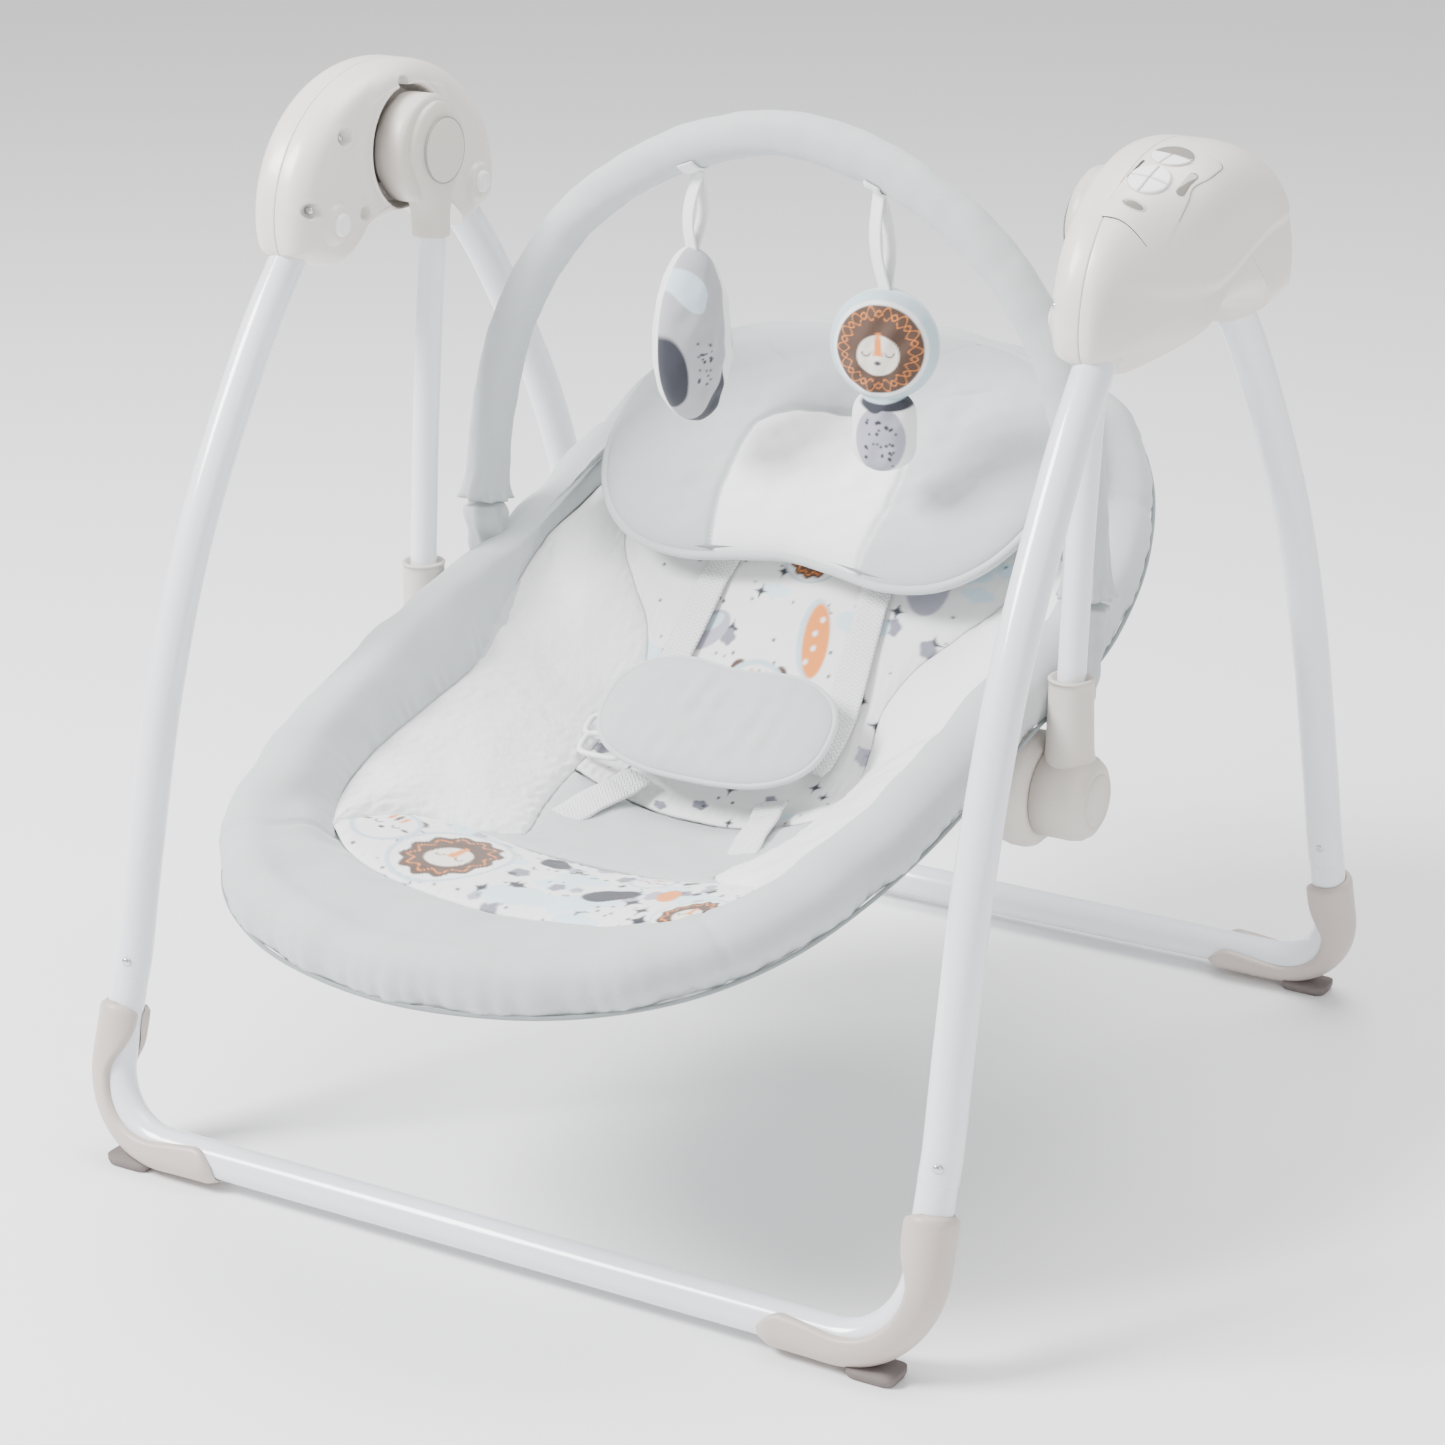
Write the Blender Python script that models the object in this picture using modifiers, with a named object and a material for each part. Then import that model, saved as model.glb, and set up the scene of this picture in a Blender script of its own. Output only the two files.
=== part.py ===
"""Folding baby swing: two U-shaped tube frames, two head housings, a swinging
reclining seat and a toy bar.  Units are metres, +Z is up, the seat faces -Y
and +X is the motor side."""
import math

import bmesh
import bpy
import numpy as np
from mathutils import Matrix, Vector

# ---------------------------------------------------------------- dimensions
GAP = 0.0003                    # left between pieces that touch

# tube frames
TUBE_R = 0.011                  # leg and base tube radius
BASE_HALF_X = 0.2690            # base tube, centre to leg axis
BASE_Y = 0.2916                 # base tube, centre to swing's middle
BASE_Z = 0.0171                 # base tube's centre height
BASE_TILT = math.radians(18.1)  # lean of each U's lower part
BEND_R = 0.046                  # bend between base and leg
SOCKET_Z = 0.1055               # top of the lower U, where the leg plugs on
SPIGOT_R = 0.0088               # swaged end inside the leg
SPIGOT_LENGTH = 0.018
LEG_TOP_X = 0.2620              # leg axis inside the head
LEG_TOP_Z = 0.567
SNAP_PIN_R = 0.0030
SNAP_PIN_UP = 0.010             # above the socket joint
SHOE_WALL = 0.0034
SHOE_LEG = 0.068                # shoe's reach up the leg
SHOE_BASE = 0.078               # shoe's reach along the base
SHOE_FLOOR_GAP = 0.0046
PAD_SIZE = (0.030, 0.022, 0.0043)

# heads
SWING_Z = 0.556                 # swing axis
HEAD_CENTRE_Z = 0.522
HEAD_HALF_Y = 0.103
HEAD_RISE = 0.085
HEAD_SEAM_X = 0.2600
HEAD_INNER_X = 0.2370           # inner face of a head
LEFT_DEPTH = 0.0250             # seam to outer face, plain head
MOTOR_DEPTH = 0.0500            # seam to outer face, motor head
WALL = 0.0024
FOLD_PIVOT_Y = 0.0350
FOLD_PIVOT_Z = 0.558
FOLD_PEG_R = 0.0032
FOLD_BUTTON_Y = 0.073
FOLD_BUTTON_Z = 0.522
FOLD_BUTTON_R = 0.0068

# swing arms and hubs
ARM_R = 0.0082
ARM_X = 0.2220
DRUM_R = 0.0330
DRUM_OUT_X = 0.2100             # face towards the seat
AXLE_R = 0.0050
HUB_Y = -0.0190
HUB_Z = 0.2320
HUB_R = 0.0255
HUB_OUT_X = 0.2410
RECLINE_R = 0.0340
RECLINE_X = (0.1840, 0.2085)

# seat
HOOP_R = 0.0065
RIM_R = 0.0185
CUSHION = 0.0100
STRAP_WIDTH = 0.0200
STRAP_THICK = 0.0016

# toy bar
TOY_BAR_R = 0.0135
TOY_PIVOT = (0.0, 0.0300, 0.3180)
TOY_BAR_X = 0.2020
TOY_X = 0.0657

# control panel
PANEL_ORIGIN = (0.2802, -0.0465, 0.5940)
PANEL_SIZE = (0.0375, 0.070, 0.003)
PANEL_TILT = math.radians(27.0)
PANEL_LEAN = math.radians(14.0)
KEY_R = 0.0120
KEYS_X = -0.0060                # key clusters, across the panel from its middle
KEY_PROUD = 0.0012
KEYPAD_Y = -0.0040              # key clusters, up the panel from its middle
DISPLAY_Y = 0.0215
KEY_GAP = 0.0005
KEY_TRAVEL = 0.0012

# gears
GEAR_MODULE = 0.0014
GEAR_TEETH = 30
PINION_TEETH = 12
GEAR_X = (0.2790, 0.2840)

# ---------------------------------------------------------------- scene set-up
for old in list(bpy.data.objects):
    bpy.data.objects.remove(old, do_unlink=True)

PARTS = bpy.data.collections.new("baby_swing")
CUTTERS = bpy.data.collections.new("cutters")
bpy.context.scene.collection.children.link(PARTS)
bpy.context.scene.collection.children.link(CUTTERS)

COLOURS = {
    "tube_white": ((0.86, 0.87, 0.90), 0.25, 0.0),
    "head_plastic": ((0.82, 0.79, 0.75), 0.35, 0.0),
    "hub_plastic": ((0.72, 0.68, 0.64), 0.35, 0.0),
    "shoe_plastic": ((0.66, 0.61, 0.57), 0.45, 0.0),
    "foot_rubber": ((0.40, 0.36, 0.34), 0.80, 0.0),
    "key_white": ((0.93, 0.93, 0.92), 0.35, 0.0),
    "lens": ((0.35, 0.34, 0.33), 0.15, 0.0),
    "steel": ((0.60, 0.60, 0.62), 0.30, 1.0),
    "gear_nylon": ((0.85, 0.85, 0.80), 0.40, 0.0),
    "board_green": ((0.05, 0.25, 0.12), 0.50, 0.0),
    "battery": ((0.10, 0.10, 0.11), 0.40, 0.0),
    "grey_fabric": ((0.62, 0.65, 0.67), 0.90, 0.0),
    "white_fabric": ((0.88, 0.88, 0.88), 0.95, 0.0),
    "webbing": ((0.90, 0.90, 0.90), 0.85, 0.0),
    "plush": ((0.75, 0.75, 0.76), 0.95, 0.0),
}


def material(name):
    """Principled material from the colour table, made once."""
    found = bpy.data.materials.get(name)
    if found:
        return found
    colour, rough, metal = COLOURS[name]
    made = bpy.data.materials.new(name)
    made.use_nodes = True
    shader = made.node_tree.nodes["Principled BSDF"]
    shader.inputs["Base Color"].default_value = (*colour, 1.0)
    shader.inputs["Roughness"].default_value = rough
    shader.inputs["Metallic"].default_value = metal
    return made


ROOT = bpy.data.objects.new("swing_origin", None)
PARTS.objects.link(ROOT)


def body(name, pivot, parent=None):
    """Empty on a joint's axis; the moving pieces are parented to it."""
    empty = bpy.data.objects.new(name, None)
    PARTS.objects.link(empty)
    empty.parent = parent or ROOT
    base = Vector(parent["pivot"]) if parent else Vector((0, 0, 0))
    empty["pivot"] = tuple(pivot)
    empty.location = Vector(pivot) - base
    return empty


def adopt(obj, owner, colour, smooth=True):
    """Parent a piece, modelled in swing coordinates, to its body."""
    pivot = Vector(owner["pivot"]) if owner is not ROOT else Vector((0, 0, 0))
    obj.parent = owner
    obj.location = obj.location - pivot
    PARTS.objects.link(obj)
    obj.data.materials.clear()
    obj.data.materials.append(material(colour))
    if smooth:
        obj.data.shade_smooth()
        obj.data.set_sharp_from_angle(angle=math.radians(35))
    return obj


def cutter(obj):
    """Keep a Boolean operand out of the part."""
    obj.parent = ROOT
    CUTTERS.objects.link(obj)
    obj.hide_render = True
    obj.display_type = "WIRE"
    return obj


def boolean(obj, other, operation="DIFFERENCE", solver="EXACT"):
    mod = obj.modifiers.new(operation.lower(), "BOOLEAN")
    mod.operation = operation
    mod.solver = solver
    mod.object = other


def raw_object(name, bm):
    mesh = bpy.data.meshes.new(name)
    bm.to_mesh(mesh)
    bm.free()
    return bpy.data.objects.new(name, mesh)


def from_bmesh(name, bm):
    bmesh.ops.recalc_face_normals(bm, faces=bm.faces)
    return raw_object(name, bm)


# ---------------------------------------------------------------- primitives
AXIS_TURN = {
    "X": Matrix.Rotation(math.radians(90), 4, "Y"),
    "Y": Matrix.Rotation(math.radians(-90), 4, "X"),
    "Z": Matrix.Identity(4),
}


def frame_along(direction):
    """Rotation that takes +Z to a direction."""
    return Vector(direction).to_track_quat("Z", "Y").to_matrix().to_4x4()


def cylinder(name, centre, radius, length, turn, segments=20, radius_top=None):
    bm = bmesh.new()
    top = radius if radius_top is None else radius_top
    bmesh.ops.create_cone(bm, cap_ends=True, segments=segments, radius1=radius,
                          radius2=top, depth=length,
                          matrix=Matrix.Translation(centre) @ turn)
    return from_bmesh(name, bm)


def box(name, centre, size, turn=None, bevel=0.0):
    bm = bmesh.new()
    place = Matrix.Translation(centre) @ (turn or Matrix.Identity(4))
    bmesh.ops.create_cube(bm, size=1.0, matrix=place @ Matrix.Diagonal((*size, 1.0)))
    if bevel:
        bmesh.ops.bevel(bm, geom=bm.edges[:], offset=bevel, segments=2, affect="EDGES",
                        profile=0.5)
    return from_bmesh(name, bm)


def ball(name, centre, size, turn=None, segments=16, rings=8):
    bm = bmesh.new()
    place = Matrix.Translation(centre) @ (turn or Matrix.Identity(4))
    bmesh.ops.create_uvsphere(bm, u_segments=segments, v_segments=rings, radius=0.5,
                              matrix=place @ Matrix.Diagonal((*size, 1.0)))
    return from_bmesh(name, bm)


def tube(name, points, radius, resolution=4, factors=None):
    """Round bar along a polyline, as a welded mesh."""
    data = bpy.data.curves.new(name, "CURVE")
    data.dimensions = "3D"
    data.bevel_depth = radius
    data.bevel_resolution = resolution
    data.use_fill_caps = True
    data.twist_mode = "MINIMUM"
    spline = data.splines.new("POLY")
    spline.points.add(len(points) - 1)
    for index, point in enumerate(points):
        spline.points[index].co = (*point, 1.0)
        spline.points[index].radius = factors[index] if factors else 1.0
    curve = bpy.data.objects.new(name + "_curve", data)
    CUTTERS.objects.link(curve)
    bpy.context.view_layer.update()
    graph = bpy.context.evaluated_depsgraph_get()
    mesh = bpy.data.meshes.new_from_object(curve.evaluated_get(graph))
    bm = bmesh.new()
    bm.from_mesh(mesh)
    bmesh.ops.remove_doubles(bm, verts=bm.verts, dist=1e-6)
    bpy.data.objects.remove(curve, do_unlink=True)
    return from_bmesh(name, bm)


def turned(name, profile, centre, turn, steps=24):
    """Solid of revolution: (radius, height) pairs run from top to bottom."""
    mesh = bpy.data.meshes.new(name)
    verts = [(r, 0.0, h) for r, h in profile]
    mesh.from_pydata(verts, [(i, i + 1) for i in range(len(verts) - 1)], [])
    obj = bpy.data.objects.new(name, mesh)
    mesh.transform(Matrix.Identity(4))
    screw = obj.modifiers.new("turn", "SCREW")
    screw.steps = steps
    screw.render_steps = steps
    screw.use_merge_vertices = True
    screw.merge_threshold = 0.00005
    obj.matrix_local = Matrix.Translation(centre) @ turn
    return obj


def prism(name, outline, place, half_thickness, bevel=0.0, segments=2):
    """Flat outline in a local XY plane, extruded both ways along local Z."""
    bm = bmesh.new()
    low = [bm.verts.new((x, y, -half_thickness)) for x, y in outline]
    face = bm.faces.new(low)
    made = bmesh.ops.extrude_face_region(bm, geom=[face])
    moved = [v for v in made["geom"] if isinstance(v, bmesh.types.BMVert)]
    bmesh.ops.translate(bm, verts=moved, vec=(0, 0, 2 * half_thickness))
    bmesh.ops.recalc_face_normals(bm, faces=bm.faces)
    if bevel:
        rims = [e for e in bm.edges if abs(e.verts[0].co.z - e.verts[1].co.z) < 1e-6]
        bmesh.ops.bevel(bm, geom=rims, offset=bevel, segments=segments,
                        affect="EDGES", profile=0.5)
    bm.transform(place)
    return from_bmesh(name, bm)


def grid(name, rows, thickness=0.0, closed=False, cap=False, facing=None):
    """Surface through rows of points; a thickness makes it a closed plate.

    facing is a direction that the surface's outer side looks along; the wall
    grows to that side, or to the other side when the thickness is negative.
    """
    bm = bmesh.new()
    lines = [[bm.verts.new(tuple(p)) for p in row] for row in rows]
    count = len(lines[0])
    for first, second in zip(lines, lines[1:]):
        for i in range(count if closed else count - 1):
            j = (i + 1) % count
            bm.faces.new((first[i], first[j], second[j], second[i]))
    if cap:
        bm.faces.new(lines[-1])
    bmesh.ops.recalc_face_normals(bm, faces=bm.faces)
    if facing:
        total = sum((f.normal * f.calc_area() for f in bm.faces), Vector())
        if total.dot(Vector(facing)) < 0:
            bmesh.ops.reverse_faces(bm, faces=bm.faces)
    obj = raw_object(name, bm)
    if thickness:
        thick = obj.modifiers.new("wall", "SOLIDIFY")
        thick.thickness = abs(thickness)
        thick.offset = 1.0 if thickness > 0 else -1.0
        thick.use_even_offset = True
    return obj


def arc(cx, cy, rx, ry, start, end, count):
    """Points on an elliptic arc, both ends included, angles in degrees."""
    angles = np.radians(np.linspace(start, end, count))
    return [(cx + rx * math.cos(a), cy + ry * math.sin(a)) for a in angles]


def smooth_path(knots, count):
    """Catmull-Rom curve through knots, sampled evenly by arc length."""
    pts = np.array(knots, dtype=float)
    ends = np.vstack([2 * pts[0] - pts[1], pts, 2 * pts[-1] - pts[-2]])
    fine = []
    for a, b, c, d in zip(ends, ends[1:], ends[2:], ends[3:]):
        for t in np.linspace(0, 1, 20, endpoint=False):
            fine.append(0.5 * (2 * b + (c - a) * t + (2 * a - 5 * b + 4 * c - d) * t ** 2
                               + (3 * b - a - 3 * c + d) * t ** 3))
    fine.append(pts[-1])
    fine = np.array(fine)
    steps = np.r_[0, np.cumsum(np.linalg.norm(np.diff(fine, axis=0), axis=1))]
    even = np.linspace(0, steps[-1], count)
    return [tuple(float(np.interp(e, steps, fine[:, k])) for k in range(3)) for e in even]


def circle_rows(path, radius, sides):
    """Rings of points square to a path, carried along it without twist."""
    pts = [Vector(p) for p in path]
    rows = []
    normal = None
    for i, point in enumerate(pts):
        ahead = pts[min(i + 1, len(pts) - 1)] - pts[max(i - 1, 0)]
        ahead.normalize()
        if normal is None:
            normal = ahead.orthogonal().normalized()
        normal = (normal - ahead * normal.dot(ahead)).normalized()
        other = ahead.cross(normal)
        turn = [2 * math.pi * k / sides for k in range(sides)]
        rows.append([point + radius * (math.cos(a) * normal + math.sin(a) * other)
                     for a in turn])
    return rows


def sleeve(name, path, radius, wall, sides=9):
    """Open-ended thick tube around a hoop."""
    obj = grid(name, circle_rows(path, radius - wall, sides), closed=True)
    middle = Vector(path[len(path) // 2])
    first = obj.data.polygons[len(obj.data.polygons) // 2]
    if first.normal.dot(first.center - middle) < 0:
        obj.data.flip_normals()
    thick = obj.modifiers.new("wall", "SOLIDIFY")
    thick.thickness = wall
    thick.offset = 1.0
    thick.use_even_offset = True
    return obj


def ribbon(name, centres, width, thickness, side=(1, 0, 0)):
    """Flat strap along a line of points, its width along one direction."""
    half = Vector(side) * width / 2
    rows = [[Vector(c) - half, Vector(c) + half] for c in centres]
    return grid(name, rows, thickness, facing=(0, -0.6, 0.8))


def mirrored(points):
    """Half a symmetric path, from the middle out, made whole."""
    return [(-x, y, z) for x, y, z in points[:0:-1]] + list(points)


# ---------------------------------------------------------------- bodies
SIDES = (("left", -1), ("right", 1))
ENDS = (("front", -1), ("rear", 1))

FOLD = {end: body(f"{end}_fold", (0, sign * FOLD_PIVOT_Y, FOLD_PIVOT_Z))
        for end, sign in ENDS}
SWING = body("swing", (0, 0, SWING_Z))
SEAT = body("seat", (0, HUB_Y, HUB_Z), SWING)
TOY_BAR = body("toy_bar_turn", TOY_PIVOT, SEAT)


def turn_x(side):
    """Local +Z to the outward X direction of one side."""
    return Matrix.Rotation(math.radians(90 * side), 4, "Y")


# ---------------------------------------------------------------- tube frames
def base_frame(end):
    """Local axes of a U's leaning plane: X, up the legs, square to both."""
    up = Vector((0, -end * math.sin(BASE_TILT), math.cos(BASE_TILT)))
    across = Vector((1, 0, 0)).cross(up)
    place = Matrix.Identity(4)
    for row in range(3):
        place[row][0] = (1, 0, 0)[row]
        place[row][1] = up[row]
        place[row][2] = across[row]
        place[row][3] = (0, end * BASE_Y, BASE_Z)[row]
    return place


SOCKET_UP = (SOCKET_Z - BASE_Z) / math.cos(BASE_TILT)


def base_path(end, reach):
    """Lower U from one leg socket round to the other, in swing coordinates."""
    inner = BASE_HALF_X - BEND_R
    right = [(inner, 0.0)] + arc(inner, BEND_R, BEND_R, BEND_R, -75, -15, 5)
    right += [(BASE_HALF_X, BEND_R), (BASE_HALF_X, SOCKET_UP + reach)]
    flat = [(-x, v) for x, v in right[::-1]] + right
    place = base_frame(end)
    return [tuple(place @ Vector((x, v, 0))) for x, v in flat]


def leg_knots(side, end):
    """Upper leg: straight out of the socket, then curving in to the head."""
    y_socket = BASE_Y - (SOCKET_Z - BASE_Z) * math.tan(BASE_TILT)
    rise = SPIGOT_LENGTH * math.cos(BASE_TILT)
    profile = [(y_socket, SOCKET_Z), (y_socket - rise * math.tan(BASE_TILT), SOCKET_Z + rise),
               (0.2437, 0.180), (0.2198, 0.270), (0.1838, 0.360), (0.1286, 0.450),
               (0.0890, 0.500), (FOLD_PIVOT_Y, FOLD_PIVOT_Z)]
    slope = 0.89
    profile.append((FOLD_PIVOT_Y - slope * (LEG_TOP_Z - FOLD_PIVOT_Z), LEG_TOP_Z))
    knots = []
    for y, z in profile:
        share = max(0.0, z - profile[1][1]) / (LEG_TOP_Z - profile[1][1])
        x = BASE_HALF_X + (LEG_TOP_X - BASE_HALF_X) * share
        knots.append((side * x, end * y, z))
    return knots


def leg_path(side, end, count=12):
    """Leg points, with the first stretch straight along the socket."""
    knots = leg_knots(side, end)
    start = Vector(knots[0])
    up = (Vector(knots[1]) - start).normalized()
    return [tuple(start + up * 2 * GAP)] + smooth_path(knots[1:], count)


def lengthened(path, extra):
    """A path with both ends carried on a little."""
    first, last = Vector(path[0]), Vector(path[-1])
    start = first + (first - Vector(path[1])).normalized() * extra
    end = last + (last - Vector(path[-2])).normalized() * extra
    return [tuple(start)] + list(path[1:-1]) + [tuple(end)]


def build_base(name, end):
    path = base_path(end, 0.0)
    up = base_frame(end).to_3x3() @ Vector((0, 1, 0))
    ends = []
    for point in (path[0], path[-1]):
        start = Vector(point)
        ends.append([tuple(start + up * 0.0002), tuple(start + up * SPIGOT_LENGTH)])
    whole = [ends[0][1], ends[0][0]] + path + ends[1]
    small = SPIGOT_R / TUBE_R
    factors = [small, small] + [1.0] * len(path) + [small, small]
    base = tube(f"{name}_base_tube", whole, TUBE_R, 3, factors)
    inward = Vector((0, -end, 0))
    for side in (-1, 1):
        start = Vector(path[0] if side < 0 else path[-1])
        centre = start + up * SNAP_PIN_UP + inward * (SPIGOT_R * 0.5 + TUBE_R * 0.5 + 0.001)
        pin = cylinder(f"cut_{name}_pin_{side}", centre, SNAP_PIN_R,
                       TUBE_R - SPIGOT_R + 0.006, frame_along(inward), 12)
        boolean(base, cutter(pin), "UNION")
    return adopt(base, FOLD[name], "tube_white")


def build_leg(name, end, label, side):
    path = leg_path(side, end)
    start = Vector(leg_knots(side, end)[0])
    leg = tube(f"{name}_leg_{label}", path, TUBE_R, 3)
    up = base_frame(end).to_3x3() @ Vector((0, 1, 0))
    bore_length = SPIGOT_LENGTH + 0.002 + 0.004
    bore = cylinder(f"cut_{name}_{label}_bore",
                    start + up * (bore_length / 2 - 0.004), SPIGOT_R + 2 * GAP,
                    bore_length, frame_along(up), 16)
    boolean(leg, cutter(bore))
    peg = cylinder(f"cut_{name}_{label}_pivot",
                   (side * LEG_TOP_X, end * FOLD_PIVOT_Y, FOLD_PIVOT_Z),
                   FOLD_PEG_R + GAP, 0.04, turn_x(1), 16)
    boolean(leg, cutter(peg))
    inward = Vector((0, -end, 0))
    window = cylinder(f"cut_{name}_{label}_window", start + up * SNAP_PIN_UP + inward * TUBE_R,
                      SNAP_PIN_R + GAP, TUBE_R, frame_along(inward), 12)
    boolean(leg, cutter(window))
    return adopt(leg, FOLD[name], "tube_white")


def build_shoe(name, end, label, side):
    """Corner shoe: an L-shaped channel round the bend, open to the inside."""
    outer = TUBE_R + SHOE_WALL
    round_r = BEND_R + TUBE_R * 0.4
    x_out = BASE_HALF_X + outer
    outline = [(x_out, SHOE_LEG)]
    outline += arc(x_out - round_r, -outer + round_r, round_r, round_r, 0, -90, 7)
    outline += [(x_out - SHOE_BASE, -outer), (x_out - SHOE_BASE, 0.002)]
    inner = BEND_R - 0.007
    outline += arc(BASE_HALF_X - BEND_R, BEND_R, inner, inner, -80, -6, 6)
    outline += [(BASE_HALF_X - 0.004, SHOE_LEG)]
    outline = [(side * x, v) for x, v in outline]
    shoe = prism(f"{name}_foot_shoe_{label}", outline, base_frame(end), outer, bevel=0.004)
    path = base_path(end, 0.01)
    boolean(shoe, cutter(tube(f"cut_{name}_{label}_tube", path, TUBE_R + 2 * GAP, 3)))
    floor = box(f"cut_{name}_{label}_floor",
                (side * BASE_HALF_X, end * BASE_Y, SHOE_FLOOR_GAP - 0.02),
                (0.4, 0.2, 0.04))
    boolean(shoe, cutter(floor))
    adopt(shoe, FOLD[name], "shoe_plastic")
    length, width, height = PAD_SIZE
    pad = box(f"{name}_foot_pad_{label}",
              (side * (BASE_HALF_X - 0.020), end * BASE_Y, height / 2),
              PAD_SIZE, bevel=0.0008)
    return adopt(pad, FOLD[name], "foot_rubber")


for end_name, end_sign in ENDS:
    build_base(end_name, end_sign)
    for side_name, side_sign in SIDES:
        build_leg(end_name, end_sign, side_name, side_sign)
        build_shoe(end_name, end_sign, side_name, side_sign)


# ---------------------------------------------------------------- heads
def head_outline():
    """Side outline: a dome over two leg collars with an arch between them."""
    cz = HEAD_CENTRE_Z
    dome = arc(0, cz, HEAD_HALF_Y, HEAD_RISE, -6, 186, 17)
    collar = [(-HEAD_HALF_Y * 0.945, cz - 0.0150), (-HEAD_HALF_Y * 0.650, cz - 0.0255),
              (-HEAD_HALF_Y * 0.590, cz - 0.0225)]
    arch = arc(0, cz - 0.025, HEAD_HALF_Y * 0.58, 0.0245, 172, 8, 7)
    return dome + collar + arch + [(-y, z) for y, z in collar[::-1]]


YZ_PLANE = (Matrix.Rotation(math.radians(90), 4, "Z")
            @ Matrix.Rotation(math.radians(90), 4, "X"))


def smoothstep(value):
    value = min(max(value, 0.0), 1.0)
    return value * value * (3 - 2 * value)


def inset(outline, amount):
    """Outline moved inwards, each point along the mean of its edges' normals."""
    pts = np.array(outline)
    ahead = np.roll(pts, -1, axis=0) - pts
    ahead /= np.linalg.norm(ahead, axis=1)[:, None]
    square = np.stack([-ahead[:, 1], ahead[:, 0]], axis=1)
    mean = square + np.roll(square, 1, axis=0)
    mean /= np.linalg.norm(mean, axis=1)[:, None]
    return [tuple(p) for p in (pts + mean * amount).tolist()]


def head_shell(name, side, start, levels, depth_of, lift=0.0, way=1):
    """Cup from the seam: scaled outlines at growing depth, outside and inside.

    way is 1 for depth away from the middle of the swing and -1 towards it.
    """
    skins = ([], [])
    for scale, share in levels:
        scale += lift / HEAD_RISE
        flat = [(y * scale, SWING_Z + (z - SWING_Z) * scale) for y, z in head_outline()]
        for skin, points, less in ((skins[0], flat, 0.0), (skins[1], inset(flat, WALL), WALL)):
            skin.append([(side * (start + share * (depth_of(y, z) + way * (lift - less))), y, z)
                         for y, z in points])
    bm = bmesh.new()
    made = [[[bm.verts.new(p) for p in row] for row in skin] for skin in skins]
    count = len(made[0][0])
    strips = [pair for skin in made for pair in zip(skin, skin[1:])]
    strips.append((made[0][0], made[1][0]))
    for first, second in strips:
        for i in range(count):
            j = (i + 1) % count
            bm.faces.new((first[i], first[j], second[j], second[i]))
    for skin in made:
        bm.faces.new(skin[-1])
    bmesh.ops.triangulate(bm, faces=[f for f in bm.faces if len(f.verts) > 4])
    return from_bmesh(name, bm)


def motor_bulge(y, z):
    """Depth of the motor side: slim at the front collar, full behind it."""
    return MOTOR_DEPTH * (0.46 + 0.54 * smoothstep((y + 0.100) / 0.070)
                          * smoothstep((z - 0.480) / 0.040))


def leg_openings(shell, label, side, solver="EXACT"):
    """Slots under a head that let both legs fold inwards."""
    for end_name, end in ENDS:
        slot = box(f"cut_{shell.name}_{end_name}_slot",
                   (side * LEG_TOP_X, end * 0.0495, 0.505), (0.0262, 0.067, 0.058))
        boolean(shell, cutter(slot), solver=solver)
        clear = tube(f"cut_{shell.name}_{end_name}_leg", leg_path(side, end)[6:],
                     TUBE_R + 0.0015, 3)
        boolean(shell, cutter(clear), solver=solver)


INNER_LEVELS = ((1.0, 0.0), (1.0, 0.45), (0.985, 0.78), (0.955, 0.95), (0.910, 1.0))
OUTER_LEVELS = ((1.0, 0.0), (0.998, 0.35), (0.965, 0.70), (0.900, 0.92), (0.800, 1.0))
MOTOR_LEVELS = ((1.0, 0.0), (0.995, 0.30), (0.965, 0.56), (0.900, 0.76), (0.780, 0.91),
                (0.600, 0.98), (0.300, 1.01))
PANEL_PLACE = (Matrix.Translation(PANEL_ORIGIN)
               @ Matrix.Rotation(PANEL_LEAN, 4, "Y")
               @ Matrix.Rotation(PANEL_TILT, 4, "X"))


def panel_outline(grow):
    """Rounded rectangle of the control panel, in its own plane."""
    width, length, _ = PANEL_SIZE
    hx, hy, r = width / 2 + grow, length / 2 + grow, 0.008
    points = []
    for cx, cy, start in ((hx, hy, 0), (-hx, hy, 90), (-hx, -hy, 180), (hx, -hy, 270)):
        points += arc(cx - math.copysign(r, cx), cy - math.copysign(r, cy), r, r,
                      start, start + 90, 4)
    return points


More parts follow.
